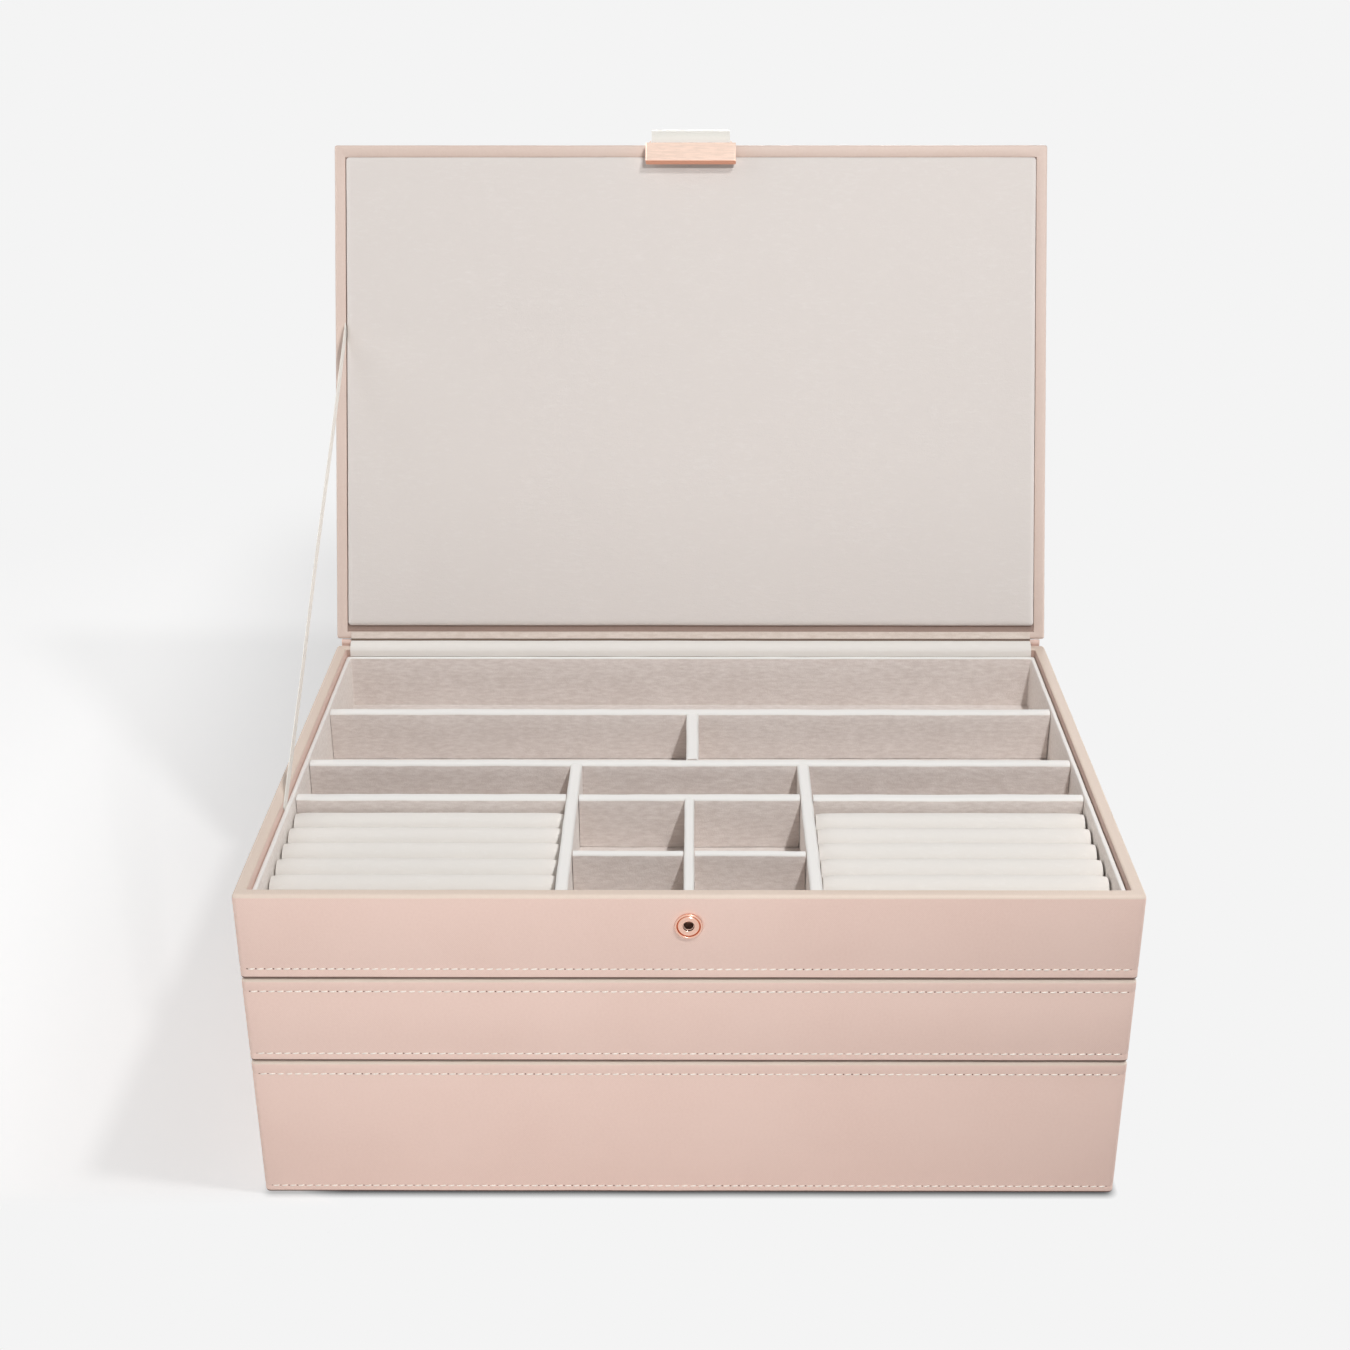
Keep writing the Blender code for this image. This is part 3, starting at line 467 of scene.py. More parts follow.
def rectangle_ring(left, right, front, back, radius):
    """A rounded rectangle with points along its sides, anticlockwise from the front side's left end."""
    corners = (
        arc((right - radius, front + radius), radius, -90, 0, 4),
        arc((right - radius, back - radius), radius, 0, 90, 4),
        arc((left + radius, back - radius), radius, 90, 180, 4),
        arc((left + radius, front + radius), radius, 180, 270, 4),
    )
    ring = []
    for index, corner in enumerate(corners):
        following = corners[(index + 1) % 4]
        ring += corner + between(corner[-1], following[0], SIDE_STEPS[(index + 1) % 2])
    return ring


def level_ring(z, *sides):
    return [(x, y, z) for x, y in rectangle_ring(*sides)]


def share_out(mesh, materials, choice):
    """Gives each face the one of several materials that a test picks by number."""
    mesh.materials.clear()
    for material in materials:
        mesh.materials.append(material)
    for face in mesh.polygons:
        face.material_index = choice(face)


def paint_suede_light(mesh, level):
    """Gives the edges above a level a paler suede, a painted highlight, and the faces turned left or right
    a paler one, painted light.
    """

    def part_of_suede(face):
        if face.center.z > level and face.normal.z > 0.35:
            return 1
        return 2 if abs(face.normal.x) > 0.7 else 0

    share_out(mesh, (SUEDE, LIT_SUEDE_TOP, LIT_SUEDE_SIDE), part_of_suede)


def finish_piece(name, mesh, material, body, nodes=(), place=None):
    """Names, shades and places a mesh, ties it to its body, and hides the solids that it stands for."""
    if place is not None:
        mesh.transform(place)
    mesh.shade_smooth()
    mesh.set_sharp_from_angle(angle=SHARP_EDGE)
    if not mesh.materials:
        mesh.materials.append(material)
    piece = add_object(name, mesh)
    if body:
        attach(piece, body)
    if nodes:
        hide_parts(*nodes)
    return piece


def path_length(path):
    return sum((Vector(after) - Vector(before)).length for before, after in zip(path, path[1:]))


def skin(name, rings):
    """A closed skin over rings of points, with UVs in metres round the ring and along the run of rings."""
    builder = bmesh.new()
    uv = builder.loops.layers.uv.new("UVMap")
    loops = [[builder.verts.new(point) for point in ring] for ring in rings]
    count = len(rings[0])
    around = [0.0]
    widest = max(rings, key=lambda ring: path_length(ring + ring[:1]))
    for index in range(count):
        step = Vector(widest[(index + 1) % count]) - Vector(widest[index])
        around.append(around[-1] + step.length)
    along = [0.0]
    for lower, upper in zip(rings, rings[1:]):
        along.append(along[-1] + (Vector(upper[0]) - Vector(lower[0])).length)
    for row, (lower, upper) in enumerate(zip(loops, loops[1:])):
        for index in range(count):
            after = (index + 1) % count
            face = builder.faces.new((lower[index], lower[after], upper[after], upper[index]))
            spots = ((index, row), (index + 1, row), (index + 1, row + 1), (index, row + 1))
            for loop, (across, up) in zip(face.loops, spots):
                loop[uv].uv = (around[across], along[up])
    builder.faces.new(list(reversed(loops[0])))
    builder.faces.new(loops[-1])
    bmesh.ops.recalc_face_normals(builder, faces=builder.faces)
    mesh = bpy.data.meshes.new(name)
    builder.to_mesh(mesh)
    builder.free()
    return mesh


def ripple(mesh, kind, seed):
    """Moves every point a little by smooth noise, so that no edge is dead straight."""
    amount, length = RIPPLES[kind]
    shift = Vector((seed, seed * 1.7, seed * 0.6))
    for vertex in mesh.vertices:
        vertex.co += noise.noise_vector(vertex.co / length + shift) * amount


def outline_rings(box_low, box_high, profile, corner=CORNER_RADIUS):
    """Rings round a box that follow (inset, height) points."""
    rings = []
    for inset, z in profile:
        radius = max(corner - inset, INNER_CORNER_RADIUS)
        sides = (box_low.x + inset, box_high.x - inset, box_low.y + inset, box_high.y - inset)
        rings.append(level_ring(z, *sides, radius))
    return rings


def strip_rings(path, thickness, half_width, steps=80):
    """Cross-sections of a flat strip that follows a path of (y, z) points."""
    rings = []
    for index, here in enumerate(path):
        before = Vector(path[max(index - 1, 0)])
        after = Vector(path[min(index + 1, len(path) - 1)])
        along = (after - before).normalized()
        side = Vector((-along.y, along.x)) * thickness / 2
        here = Vector(here)
        inner = here - side
        outer = here + side
        xs = [half_width * (2 * step / steps - 1) for step in range(steps + 1)]
        ring = [(x, inner.x, inner.y) for x in xs] + [(x, outer.x, outer.y) for x in reversed(xs)]
        rings.append(ring)
    return rings


def smooth_path(points, steps=8):
    """A curve through given points, by Catmull and Rom's formula."""
    spots = [Vector(point) for point in points]
    spots = [2 * spots[0] - spots[1]] + spots + [2 * spots[-1] - spots[-2]]
    path = []
    for a, b, c, d in zip(spots, spots[1:], spots[2:], spots[3:]):
        for step in range(steps):
            t = step / steps
            path.append(0.5 * (
                2 * b + (c - a) * t + (2 * a - 5 * b + 4 * c - d) * t ** 2
                + (3 * b - a - 3 * c + d) * t ** 3
            ))
    path.append(spots[-2])
    return path


def turned(name, profile, steps=64):
    """A turned form about Y from (radius, y) points; the first and the last are on the axis."""
    rings = []
    for radius, y in profile[1:-1]:
        ring = []
        for step in range(steps):
            angle = math.tau * step / steps
            ring.append((radius * math.cos(angle), y, radius * math.sin(angle)))
        rings.append(ring)
    return skin(name, rings)


def paint(node, material):
    solid = frame["nodes"][node]
    solid.data.materials.clear()
    solid.data.materials.append(material)


# Trays


def tray_profile(low, high, rows):
    """Leather over board: rounded foot and rim, and a shallow dent along each stitch row."""
    profile = arc((FOOT_ROUND, low + FOOT_ROUND), FOOT_ROUND, 270, 180)
    for row in sorted(rows):
        profile += [
            (0, row - STITCH_DENT_REACH),
            (STITCH_DENT * 0.55, row - STITCH_DENT_REACH / 2),
            (STITCH_DENT, row),
            (STITCH_DENT * 0.55, row + STITCH_DENT_REACH / 2),
            (0, row + STITCH_DENT_REACH),
        ]
    profile += arc((RIM_OUTER_ROUND, high - RIM_OUTER_ROUND), RIM_OUTER_ROUND, 180, 90)
    profile += arc((WALL - RIM_INNER_ROUND, high - RIM_INNER_ROUND), RIM_INNER_ROUND, 90, 0)
    profile += [(WALL, high - 9 * MM), (WALL, low + CARCASS_FLOOR)]
    return profile


def stitch_mesh(builder, centre, along, out):
    """One stitch: a slim pod that is highest in its middle and dives in at both ends."""
    up = out.cross(along)
    slant = Matrix.Rotation(STITCH_SLANT, 3, out)
    along = slant @ along
    up = slant @ up
    loops = []
    stations = ((-1.0, 0.25), (-0.8, 0.75), (-0.35, 1.0), (0.35, 1.0), (0.8, 0.75), (1.0, 0.25))
    for place, share in stations:
        dive = (1 - share) * STITCH_WIDTH * 0.55
        spot = centre + along * place * STITCH_LENGTH / 2 - out * dive
        loop = []
        for step in range(6):
            angle = math.tau * step / 6
            reach = STITCH_WIDTH / 2 * share
            loop.append(builder.verts.new(
                spot + up * reach * math.cos(angle) + out * reach * 0.8 * math.sin(angle)
            ))
        loops.append(loop)
    for first, second in zip(loops, loops[1:]):
        for index in range(6):
            after = (index + 1) % 6
            builder.faces.new((first[index], first[after], second[after], second[index]))
    builder.faces.new(list(reversed(loops[0])))
    builder.faces.new(loops[-1])


def stitch_row(name, low, high, z, body):
    """Stitches all round a tray at one height, and the needle holes between them as flat near-black discs,
    painted shade.
    """
    builder = bmesh.new()
    around = ((low.x, low.y), (high.x, low.y), (high.x, high.y), (low.x, high.y))
    corners = [Vector((x, y, z)) for x, y in around]
    runs = []
    for start, end in zip(corners, corners[1:] + corners[:1]):
        along = (end - start).normalized()
        out = along.cross(Vector((0, 0, 1)))
        length = (end - start).length - 2 * STITCH_FROM_CORNER
        runs.append((start, along, out, length, int(length / STITCH_PITCH) + 1))
    for start, along, out, length, count in runs:
        for index in range(count):
            offset = STITCH_FROM_CORNER + length * (index + 0.5) / count
            centre = start + along * offset - out * (STITCH_DENT - STITCH_PROUD)
            stitch_mesh(builder, centre, along, out)
    bmesh.ops.recalc_face_normals(builder, faces=builder.faces)
    for start, along, out, length, count in runs:
        up = out.cross(along)
        for index in range(count + 1):
            offset = STITCH_FROM_CORNER + length * index / count
            centre = start + along * offset - out * (STITCH_DENT * 0.8)
            hole = []
            for step in range(8):
                angle = math.tau * step / 8
                spread = along * math.cos(angle) + up * math.sin(angle)
                hole.append(builder.verts.new(centre + spread * NEEDLE_HOLE))
            builder.faces.new(hole).material_index = 1
    mesh = bpy.data.meshes.new(name)
    builder.to_mesh(mesh)
    builder.free()
    mesh.materials.append(THREAD)
    mesh.materials.append(PAINTED_SHADE_LEATHER)
    finish_piece(name, mesh, THREAD, body)


def make_carcass(tray, seed):
    """A leather-covered carcass and its stitch rows."""
    low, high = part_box(f"{tray}_carcass")
    rows = [low.z + ROW_ABOVE_FOOT[tray]]
    if tray in ROW_BELOW_RIM:
        rows.append(high.z - ROW_BELOW_RIM[tray])
    mesh = skin(f"{tray}_leather", outline_rings(low, high, tray_profile(low.z, high.z, rows)))

    def part_of_hide(face):
        spot = face.center
        inset = min(spot.x - low.x, high.x - spot.x, spot.y - low.y, high.y - spot.y)
        # Up-facing faces at the rim take the paler leather, a painted highlight.
        if spot.z > high.z - RIM_OUTER_ROUND and face.normal.z > 0.3:
            return 1
        # The foot's under faces take the near-black leather, painted shade in the gap between trays.
        if spot.z < low.z + FOOT_ROUND and face.normal.z < -0.05:
            return 2
        # Inner faces take the darker leather, painted shade, except the left wall's, which faces right.
        return 3 if inset > WALL - RIM_INNER_ROUND * 0.6 and face.normal.x < 0.7 else 0

    share_out(mesh, (LEATHER, LIT_RIM_LEATHER, PAINTED_SHADE_LEATHER, SHADED_INNER_LEATHER), part_of_hide)
    ripple(mesh, "leather", seed)
    body = f"{tray}_tray"
    piece = finish_piece(f"{tray}_leather", mesh, LEATHER, body, [f"{tray}_carcass"])
    for index, z in enumerate(rows):
        stitch_row(f"{tray}_stitches_{index + 1}", low, high, z, body)
    return piece


def make_liner(tray, seed):
    """A suede shell with a soft top edge."""
    low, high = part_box(f"{tray}_liner")
    edge = LINER_EDGE
    profile = [(0, low.z)]
    profile += arc((edge, high.z - edge), edge, 180, 90)
    profile += arc((LINER - edge, high.z - edge), edge, 90, 0)
    profile += [(LINER, low.z + 12 * MM), (LINER, low.z + LINER)]
    mesh = skin(f"{tray}_lining", outline_rings(low, high, profile, INNER_CORNER_RADIUS))
    paint_suede_light(mesh, high.z - edge)
    ripple(mesh, "liner", seed)
    finish_piece(f"{tray}_lining", mesh, SUEDE, f"{tray}_tray", [f"{tray}_liner"])


def make_divider(node, body, seed):
    """A suede-covered divider with a full, slightly uneven top."""
    low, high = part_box(node)
    if "fourth" in node:
        high.y -= SLIMMER
    size = high - low
    lengthwise = size.y > size.x
    thickness = min(size.x, size.y)
    length = max(size.x, size.y)
    radius = thickness * 0.30
    if body == "top_tray":
        high.z += next((rise for word, rise in TOP_RISES.items() if word in node), TOP_RISE)
    steps = max(4, int(length / (4 * MM)))
    outline = [(-thickness / 2, low.z)]
    outline += between((-thickness / 2, low.z), (-thickness / 2, high.z - radius), 6)
    outline += arc((-thickness / 2 + radius, high.z - radius), radius, 180, 90)
    outline += arc((thickness / 2 - radius, high.z - radius), radius, 90, 0)
    outline += between((thickness / 2, high.z - radius), (thickness / 2, low.z), 6)
    outline += [(thickness / 2, low.z)]
    middle = (low + high) / 2
    rings = []
    for step in range(steps + 1):
        place = length * (step / steps - 0.5)
        if lengthwise:
            rings.append([(middle.x + across, middle.y + place, z) for across, z in outline])
        else:
            rings.append([(middle.x + place, middle.y + across, z) for across, z in outline])
    mesh = skin(f"{node}_suede", rings)
    paint_suede_light(mesh, high.z - radius)
    ripple(mesh, "divider", seed)
    finish_piece(f"{node}_suede", mesh, SUEDE, body, [node])


def make_roll(node, seed):
    """A padded bar: flat at its sides, full on top, a little pinched and lower at its ends."""
    low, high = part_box(node)
    high.z += ROLL_RISE
    width = high.y - low.y
    length = high.x - low.x
    middle = (low + high) / 2
    shoulder = high.z - width / 2
    outline = [(-width / 2, low.z)]
    outline += between((-width / 2, low.z), (-width / 2, shoulder), 5)
    outline += arc((0, shoulder), width / 2, 180, 0, 16)
    outline += between((width / 2, shoulder), (width / 2, low.z), 5)
    outline += [(width / 2, low.z)]
    rings = []
    steps = 40
    for step in range(steps + 1):
        share = step / steps
        place = length * (share - 0.5)
        from_end = length / 2 - abs(place)
        pinch = math.exp(-from_end / ROLL_PINCH_REACH)
        swell = 1 - ROLL_PINCH * pinch
        drop = ROLL_END_DROP * pinch + ROLL_SAG * (1 - math.sin(math.pi * share))
        ring = []
        for across, z in outline:
            rise = (z - low.z) / (high.z - low.z)
            ring.append((middle.x + place, middle.y + across * swell, z - drop * rise))
        rings.append(ring)
    mesh = skin(f"{node}_suede", rings)
    ripple(mesh, "roll", seed)
    piece = finish_piece(f"{node}_suede", mesh, ROLL_SUEDE, "top_tray", [node])


# Snap socket


def cut_bore(piece, node):
    """Opens the wall behind the socket's mouth, as the solid has it."""
    low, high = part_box(node)
    depth = high.y - low.y
    profile = [(0, -2 * MM), (BORE_RADIUS, -2 * MM), (BORE_RADIUS, depth), (0, depth)]
    mesh = turned("bore", profile)
    mesh.transform(Matrix.Translation(((low.x + high.x) / 2, front_wall(), (low.z + high.z) / 2)))
    cutter = add_object("bore", mesh)
    cut = piece.modifiers.new("bore", "BOOLEAN")
    cut.operation = "DIFFERENCE"
    cut.object = cutter
    bpy.context.view_layer.update()
    evaluated = piece.evaluated_get(bpy.context.evaluated_depsgraph_get())
    piece.data = bpy.data.meshes.new_from_object(evaluated)
    piece.modifiers.clear()
    bpy.data.objects.remove(cutter, do_unlink=True)


def front_wall():
    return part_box("top_carcass")[0].y


def make_socket():
    """The female snap: a domed flange that dishes in to its mouth, and a cup. Its wire keeps its solid."""
    low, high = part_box("snap_socket")
    centre = Matrix.Translation(((low.x + high.x) / 2, front_wall(), (low.z + high.z) / 2))
    front = low.y - front_wall()
    outer = (high.x - low.x) / 2 + SOCKET_WIDER
    mouth = 2.25 * MM
    cup = 2.95 * MM
    deep = high.y - front_wall()
    bead = 0.42 * MM
    crest = outer - 1.75 * MM
    rear = cup + 0.5 * MM
    profile = [(0, deep), (rear, deep), (rear, -0.1 * MM), (outer - 0.3 * MM, -0.05 * MM)]
    profile += arc((outer - bead, front * 0.72), bead, 0, -180, 8)
    profile += smooth_path([
        (outer - 2 * bead - 0.10 * MM, front * 0.50),
        (outer - 2 * bead - 0.28 * MM, front * 0.62),
        (crest, front),
        (crest - 0.9 * MM, front + 0.28 * MM),
        (mouth + 0.25 * MM, front + 0.30 * MM),
        (mouth, front + 0.62 * MM),
    ], 5)
    profile = [(float(radius), float(y)) for radius, y in profile]
    profile += [(mouth, front + 0.95 * MM), (cup, front + 1.0 * MM)]
    profile += [(cup, deep - 0.5 * MM), (0, deep - 0.5 * MM)]
    mesh = turned("socket_cap", profile, 72)

    # Painted shade and painted dark reflection: the cup's back, the groove and the outer rim take the
    # shaded metal, the cup's wall the near-black.
    def part_of_socket(face):
        radius = math.hypot(face.center.x, face.center.z)
        if radius < cup + 0.05 * MM and face.center.y > front + 0.5 * MM:
            return 1 if face.center.y > deep - 0.6 * MM else 2
        groove = abs(radius - (outer - 2 * bead - 0.10 * MM)) < 0.24 * MM and face.center.y > front * 0.8
        return int(groove or radius > outer - 0.12 * MM)

    share_out(mesh, (SNAP_METAL, SHADED_METAL, MOUTH_SHADE), part_of_socket)
    finish_piece("socket_cap", mesh, SNAP_METAL, "top_tray", ["snap_socket"], centre)
    paint("snap_spring", SNAP_METAL)


# Lid


def make_lid():
    """The leather lid: rounded outer edges and a border that frames the pad's pocket."""
    low, high = local_box("lid_panel", LID_STANDS)
    pad_low, pad_high = local_box("lid_pad", LID_STANDS)
    gap = POCKET_GAP
    pocket = low.z + POCKET_DEPTH
    rings = []
    for inset, z in ((0, pocket), (0, low.z + 0.4 * MM), (-0.35 * MM, low.z)):
        across = (pad_low.x - gap + inset, pad_high.x + gap - inset)
        along = (pad_low.y - gap + inset, pad_high.y + PAD_REAR_GAP - inset)
        rings.append(level_ring(z, *across, *along, INNER_CORNER_RADIUS))
    inner = arc((LID_FACE_ROUND, low.z + LID_FACE_ROUND), LID_FACE_ROUND, 270, 180)
    outer = arc((LID_TOP_ROUND, high.z - LID_TOP_ROUND), LID_TOP_ROUND, 180, 90)
    rings += outline_rings(low, high, inner + outer, 1.2 * MM)
    mesh = skin("lid_leather", rings)

    # The pocket round the pad takes a darker leather, painted shade.
    def in_pocket(face):
        spot = face.center
        across = pad_low.x - 1.1 * gap < spot.x < pad_high.x + 1.1 * gap
        along = pad_low.y - 1.1 * gap < spot.y < pad_high.y + PAD_REAR_GAP + 0.1 * gap
        return int(across and along and low.z + 0.2 * MM < spot.z < pocket + 0.1 * MM)

    # The lid's faces outside the pocket take the lid's darker leather, painted shade.
    share_out(mesh, (SHADED_LID_LEATHER, POCKET_SHADE), in_pocket)
    ripple(mesh, "leather", 5.0)
    finish_piece("lid_leather", mesh, LEATHER, "lid", ["lid_panel"], LID_STANDS)


def make_pad():
    """A thin cushion: its edges roll over, and its face swells a little toward the middle."""
    low, high = local_box("lid_pad", LID_STANDS)
    low.y -= PAD_OVERLAP
    high.x += PAD_OVERLAP / 2
    edge = PAD_EDGE
    side_top = local_box("lid_panel", LID_STANDS)[0].z + 0.2 * MM
    flat_face = low.z - PAD_SWELL + PAD_CROWN
    profile = [(0.25 * MM, high.z), (0.0, side_top)]
    for step in range(1, 11):
        angle = math.radians(90 * step / 10)
        drop = math.sin(angle) ** 0.8
        profile.append((edge * (1 - math.cos(angle)) ** 1.15, side_top - (side_top - flat_face) * drop))
    half = (high.y - low.y) / 2
    for step in range(1, 25):
        share = step / 25
        crown = PAD_CROWN * math.sin(share * math.pi / 2)
        profile.append((edge + (half - edge) * share, flat_face - crown))
    rings = []
    for inset, z in profile:
        sides = (low.x + inset, high.x - inset, low.y + inset, high.y - inset)
        rings.append(level_ring(z, *sides, min(1.6 * MM, half - inset)))
    mesh = skin("lid_cushion", rings)
    ripple(mesh, "pad", 9.0)
    piece = finish_piece("lid_cushion", mesh, PAD_SUEDE, "lid", ["lid_pad"], LID_STANDS)


def lid_point(y, z):
    """A point of the shut lid's cross-section, as (y, z) where the open lid has it."""
    spot = LID_STANDS @ Vector((0, y, z))
    return spot.y, spot.z


def make_spine():
    """The leather hinge, from the back wall round the hinge line to the lid's rear edge."""
    low, high = local_box("lid_panel", LID_STANDS)
    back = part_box("top_carcass")[1].y
    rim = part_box("top_carcass")[1].z
    box_low, box_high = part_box("hinge_spine")
    line = back + 0.7 * MM
    path = [(line, box_low.z), (line, rim - 5 * MM), (line, rim - 0.5 * MM)]
    path += [(line - 0.25 * MM, rim + 0.9 * MM), (line + 0.3 * MM, rim + 2.0 * MM)]
    levels = (low.z + 2.0 * MM, low.z + 5.5 * MM, high.z - 2.2 * MM)
    path += [lid_point(high.y + 0.75 * MM, z) for z in levels]
    route = smooth_path(path, 6)
    mesh = skin("spine_leather", strip_rings(route, SPINE_THICKNESS, box_high.x, 60))
    ripple(mesh, "spine", 3.0)
    piece = finish_piece("spine_leather", mesh, LEATHER, None, ["hinge_spine"])
    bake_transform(piece)


def make_hinge_strip():
    """The suede strip: glued to the lid's face, creased at the hinge, rolled over the back rim."""
    low, high = local_box("lid_panel", LID_STANDS)
    pad_high = local_box("lid_pad", LID_STANDS)[1]
    strip_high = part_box("hinge_strip")[1]
    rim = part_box("top_carcass")[1].z
    inner_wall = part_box("top_carcass")[1].y - WALL
    liner_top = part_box("top_liner")[1].z
    face = low.z - 0.55 * MM
    edges = (pad_high.y + PAD_REAR_GAP + 0.2 * MM, high.y - 1.8 * MM, high.y - 0.3 * MM)
    path = [lid_point(y, face) for y in edges]
    path += [(inner_wall + y * MM, rim + z * MM) for y, z in STRIP_OVER_RIM]
    path.append((inner_wall - 0.62 * MM, liner_top + 0.12 * MM))
    route = smooth_path(path, 6)
    mesh = skin("hinge_suede", strip_rings(route, STRIP_THICKNESS, strip_high.x, 90))
    crease = Vector((0, *lid_point(edges[-1], face)))

    # A band round the crease takes the dark suede, painted shade.
    def part_of_strip(face_of_mesh):
        drop = crease.z - face_of_mesh.center.z
        return 2 if abs(drop - CREASE_DROP) < CREASE_HALF else int(drop > CREASE_DROP)

    # Below the crease, where it turns over the rim, the strip takes the paler roll suede: a painted
    # highlight.
    share_out(mesh, (STRIP_SUEDE, ROLL_SUEDE, CREASE_SHADE), part_of_strip)
    ripple(mesh, "strip", 7.0)
    piece = finish_piece("hinge_suede", mesh, SUEDE, None, ["hinge_strip"])
    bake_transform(piece)


def make_ribbon():
    """The ribbon stay, edge on, from behind the liner to under the pad's edge."""
    low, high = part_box("ribbon_stay")
    node = frame["nodes"]["ribbon_stay"]
    spots = sorted({(round(v.co.z, 6), round(v.co.y, 6)) for v in node.data.vertices})
    bottom = Vector((sum(y for z, y in spots[:2]) / 2, spots[0][0]))
    top = Vector((sum(y for z, y in spots[-2:]) / 2, sum(z for z, y in spots[-2:]) / 2))
    bottom.y -= 1.2 * MM
    along = (top - bottom).normalized()
    side = Vector((-along.y, along.x))
    plane = (low.x + high.x) / 2
    length = (top - bottom).length
    rings = []
    steps = 90
    across_steps = 8
    for step in range(steps + 1):
        share = step / steps
        here = bottom + along * length * share
        sway = RIBBON_SWAY * math.sin(math.pi * share) * math.sin(math.tau * 1.5 * share)
        ring = []
        for face, order in ((-1, range(across_steps + 1)), (1, range(across_steps, -1, -1))):
            for index in order:
                across = (index / across_steps - 0.5) * RIBBON_WIDTH
                spot = here + side * across
                ring.append((plane + sway + face * RIBBON_THICKNESS / 2, spot.x, spot.y))
        rings.append(ring)
    mesh = skin("ribbon_band", rings)
    piece = finish_piece("ribbon_band", mesh, RIBBON, None, ["ribbon_stay"])
    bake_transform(piece)


# Tab


def make_strap():
    """The leather tab: its root on the lid's outer face, then one even curl over the edge."""
    low, high = local_box("lid_panel", LID_STANDS)
    sleeve_low, sleeve_high = local_box("tab_sleeve", CLASP_HANGS)
    strap_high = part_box("tab_strap")[1]
    level = high.z + 0.3 * MM + STRAP_THICKNESS / 2
    sweep = math.pi / 2 + abs(joint_swing("tab_swing"))
    to_lid = LID_STANDS.inverted() @ CLASP_HANGS
    middle_y = (sleeve_low.y + sleeve_high.y) / 2
    plate_top = sleeve_low.z + PLATE_HEIGHT
    entry = to_lid @ Vector((0, middle_y, plate_top))
    tip = to_lid @ Vector((0, middle_y, plate_top - SLEEVE_DROP - STRAP_IN_SLEEVE))
    radius = (level - entry.z) / (1 - math.cos(sweep))
    bend = entry.y + radius * math.sin(sweep)
    path = [(low.y + 15 * MM, level), (low.y + 8 * MM, level), (bend + 1.5 * MM, level)]
    path += arc((bend, level - radius), radius, 90, 90 + math.degrees(sweep), 28)
    path.append((tip.y, tip.z))
    mesh = skin("tab_leather", strip_rings(path, STRAP_THICKNESS, strap_high.x, 24))
    ripple(mesh, "strap", 2.0)
    piece = finish_piece("tab_leather", mesh, TAB_LEATHER, None, ["tab_strap"], LID_STANDS)
    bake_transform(piece)


def make_sleeve():
    """The tab's metal end; its lower faces, a painted dark reflection, and its top edge between the ears,
    painted shade, are of the darker metal.
    """
    down = (CLASP_TURN @ Vector((0, 0, -1))).normalized()
    mesh = frame["nodes"]["tab_sleeve"].data.copy()
    mesh.transform(Matrix.Translation(down * SLEEVE_DROP))
    reach = max(vertex.co.x for vertex in mesh.vertices) - 2.2 * MM

    def part_of_sleeve(face):
        turn = face.normal.dot(down)
        return int(turn > 0.3 or (turn < -0.6 and abs(face.center.x) < reach))

    share_out(mesh, (METAL, SHADED_METAL), part_of_sleeve)
    finish_piece("sleeve_metal", mesh, METAL, "clasp", ["tab_sleeve"])


# Studio


def make_camera():
    data = bpy.data.cameras.new("camera")
    data.lens = CAMERA_LENS
    data.sensor_width = 36
    data.shift_x, data.shift_y = CAMERA_SHIFT
    data.clip_start = 0.01
    camera = add_object("camera", data)
    turn = Matrix.Rotation(CAMERA_LEFT, 4, "Z") @ Matrix.Rotation(math.pi / 2 - CAMERA_DOWN, 4, "X")
    camera.matrix_world = Matrix.Translation(CAMERA_PLACE) @ turn @ Matrix.Rotation(CAMERA_ROLL, 4, "Z")
    bpy.context.scene.camera = camera


def make_lamp(name, place, aim, size, watts):
    data = bpy.data.lights.new(name, "AREA")
    data.shape = "DISK"
    data.size = size
    data.energy = watts
    lamp = add_object(name, data)
    lamp.location = place
    lamp.rotation_euler = (Vector(aim) - Vector(place)).to_track_quat("-Z", "Y").to_euler()
    return lamp


def spare_floor(lamp, floor):
    """Keeps a lamp's light off the floor, so that it throws no shadow there."""
    spared = bpy.data.collections.new(f"{lamp.name}_spares")
    lamp.light_linking.receiver_collection = spared
    spared.objects.link(floor)
    spared.collection_objects[0].light_linking.link_state = "EXCLUDE"


def make_world(dome):
    """An even dome of light that looks like the pale backdrop to the camera, in gloss and through glass."""
    world = bpy.data.worlds.new("studio")
    bpy.context.scene.world = world
    world.use_nodes = True
    nodes = world.node_tree.nodes
    links = world.node_tree.links
    nodes.clear()
    path = nodes.new("ShaderNodeLightPath")
    lit = nodes.new("ShaderNodeBackground")
    set_inputs(lit, {"Color": (1, 1, 1, 1), "Strength": dome})
    shown = nodes.new("ShaderNodeBackground")
    shown.inputs["Color"].default_value = (*BACKDROP, 1)
    direct = largest(nodes, links, *(path.outputs[f"Is {kind} Ray"] for kind in SHOWN_TO))
    mix = nodes.new("ShaderNodeMixShader")
    out = nodes.new("ShaderNodeOutputWorld")
    links.new(direct, mix.inputs["Fac"])
    links.new(lit.outputs["Background"], mix.inputs[1])
    links.new(shown.outputs["Background"], mix.inputs[2])
    links.new(mix.outputs["Shader"], out.inputs["Surface"])


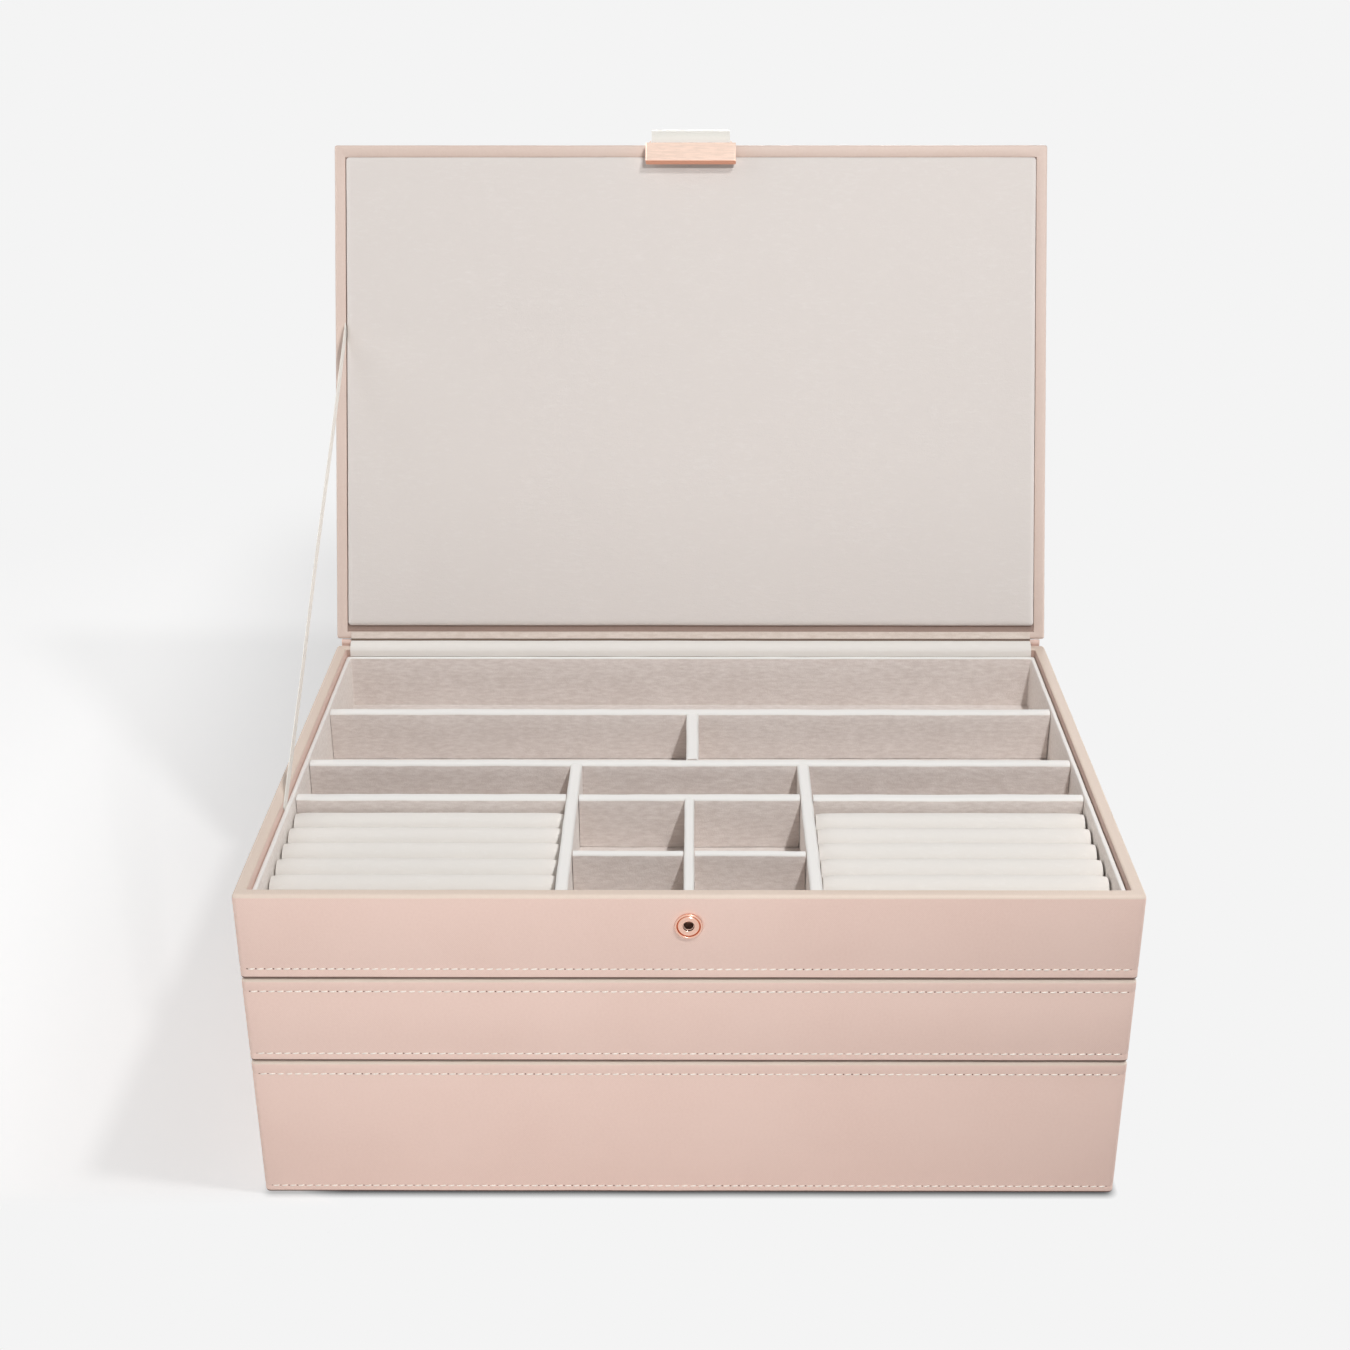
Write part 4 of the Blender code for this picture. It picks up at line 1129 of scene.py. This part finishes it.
def ramp_between(nodes, links, value, start, end):
    """0 before start, 1 after end, with soft shoulders."""
    ramp = nodes.new("ShaderNodeMapRange")
    ramp.interpolation_type = "SMOOTHSTEP"
    set_inputs(ramp, {"From Min": min(start, end), "From Max": max(start, end)})
    set_inputs(ramp, {"To Min": float(end < start), "To Max": float(start < end)})
    links.new(value, ramp.inputs["Value"])
    return ramp.outputs["Result"]


def make_floor():
    """A pale floor, as even as the backdrop, that keeps the box's shadow at its left."""
    mesh = bpy.data.meshes.new("floor")
    corners = [(x * FLOOR_REACH, y * FLOOR_REACH, 0) for x, y in ((-1, -1), (1, -1), (1, 1), (-1, 1))]
    mesh.from_pydata(corners, [], [(0, 1, 2, 3)])
    floor = add_object("floor", mesh)
    material, nodes, links, shader = new_material("pale_floor")
    set_inputs(shader, {"Base Color": (*FLOOR_COLOUR, 1), "Roughness": 0.9, "Specular IOR Level": 0.0})
    thin = nodes.new("ShaderNodeBsdfDiffuse")
    thin.inputs["Color"].default_value = (*FLOOR_SHADOW_TONE, 1)
    base = nodes.new("ShaderNodeEmission")
    shadowed = nodes.new("ShaderNodeAddShader")
    links.new(thin.outputs["BSDF"], shadowed.inputs[0])
    links.new(base.outputs["Emission"], shadowed.inputs[1])
    even = nodes.new("ShaderNodeEmission")
    even.inputs["Color"].default_value = (*BACKDROP, 1)
    place = nodes.new("ShaderNodeTexCoord")
    apart = nodes.new("ShaderNodeSeparateXYZ")
    links.new(place.outputs["Object"], apart.inputs["Vector"])
    right = ramp_between(nodes, links, apart.outputs["X"], *SHADOW_RIGHT)
    front = ramp_between(nodes, links, apart.outputs["Y"], *SHADOW_FRONT)
    shift = nodes.new("ShaderNodeMapping")
    shift.inputs["Location"].default_value = -Vector(SHADOW_MIDDLE)
    links.new(place.outputs["Object"], shift.inputs["Vector"])
    distance = nodes.new("ShaderNodeVectorMath")
    distance.operation = "LENGTH"
    links.new(shift.outputs["Vector"], distance.inputs[0])
    far = ramp_between(nodes, links, distance.outputs["Value"], *SHADOW_FADE)
    outward = ramp_between(nodes, links, apart.outputs["X"], *FAR_TONE_SPAN)
    tones = [(tone, tone, tone) for tone in (FLOOR_BASE_TONE, FLOOR_FAR_TONE)]
    links.new(colour_between(nodes, links, outward, *tones, (0, 1)), base.inputs["Color"])
    cover = largest(nodes, links, right, front, far)
    # Painted contact shadow round the foot
    contact_occlusion = nodes.new("ShaderNodeAmbientOcclusion")
    contact_occlusion.inputs["Distance"].default_value = CONTACT_REACH
    contact_shade = math_node(nodes, links, "POWER", contact_occlusion.outputs["AO"], CONTACT_DEPTH)
    links.new(contact_shade, even.inputs["Strength"])
    seen = nodes.new("ShaderNodeMixShader")
    links.new(cover, seen.inputs["Fac"])
    links.new(shadowed.outputs["Shader"], seen.inputs[1])
    links.new(even.outputs["Emission"], seen.inputs[2])
    path = nodes.new("ShaderNodeLightPath")
    direct = largest(nodes, links, *(path.outputs[f"Is {kind} Ray"] for kind in SHOWN_TO))
    mix = nodes.new("ShaderNodeMixShader")
    links.new(direct, mix.inputs["Fac"])
    links.new(shader.outputs["BSDF"], mix.inputs[1])
    links.new(seen.outputs["Shader"], mix.inputs[2])
    links.new(mix.outputs["Shader"], nodes["Material Output"].inputs["Surface"])
    mesh.materials.append(material)
    return floor


make_camera()
make_world(DOME)
lamps = [make_lamp(lamp_name, *values) for lamp_name, values in LAMPS.items()]
studio_floor = make_floor()
for spared_lamp in lamps[1:]:
    spare_floor(spared_lamp, studio_floor)
card = make_lamp("front_card", *CARD)
card.visible_camera = False
card.visible_glossy = False

paint("base_felt", FELT)
for tray_name, tray_seed in (("bottom", 1.0), ("middle", 2.0), ("top", 3.0)):
    made = make_carcass(tray_name, tray_seed)
    if tray_name == "top":
        cut_bore(made, "snap_socket")
    make_liner(tray_name, tray_seed + 0.5)
for plinth in ("middle_plinth", "top_plinth"):
    paint(plinth, SUEDE)
for number, divider in enumerate(sorted(n for n in frame["nodes"] if "_divider" in n)):
    make_divider(divider, divider.split("_")[0] + "_tray", 0.37 * number)
for number, roll in enumerate(sorted(n for n in frame["nodes"] if n.startswith("ring_roll"))):
    make_roll(roll, 0.53 * number)
make_socket()
make_lid()
make_pad()
make_spine()
make_hinge_strip()
make_ribbon()
make_strap()
make_sleeve()
paint("snap_stud", METAL)

bpy.context.scene.view_settings.view_transform = "Standard"
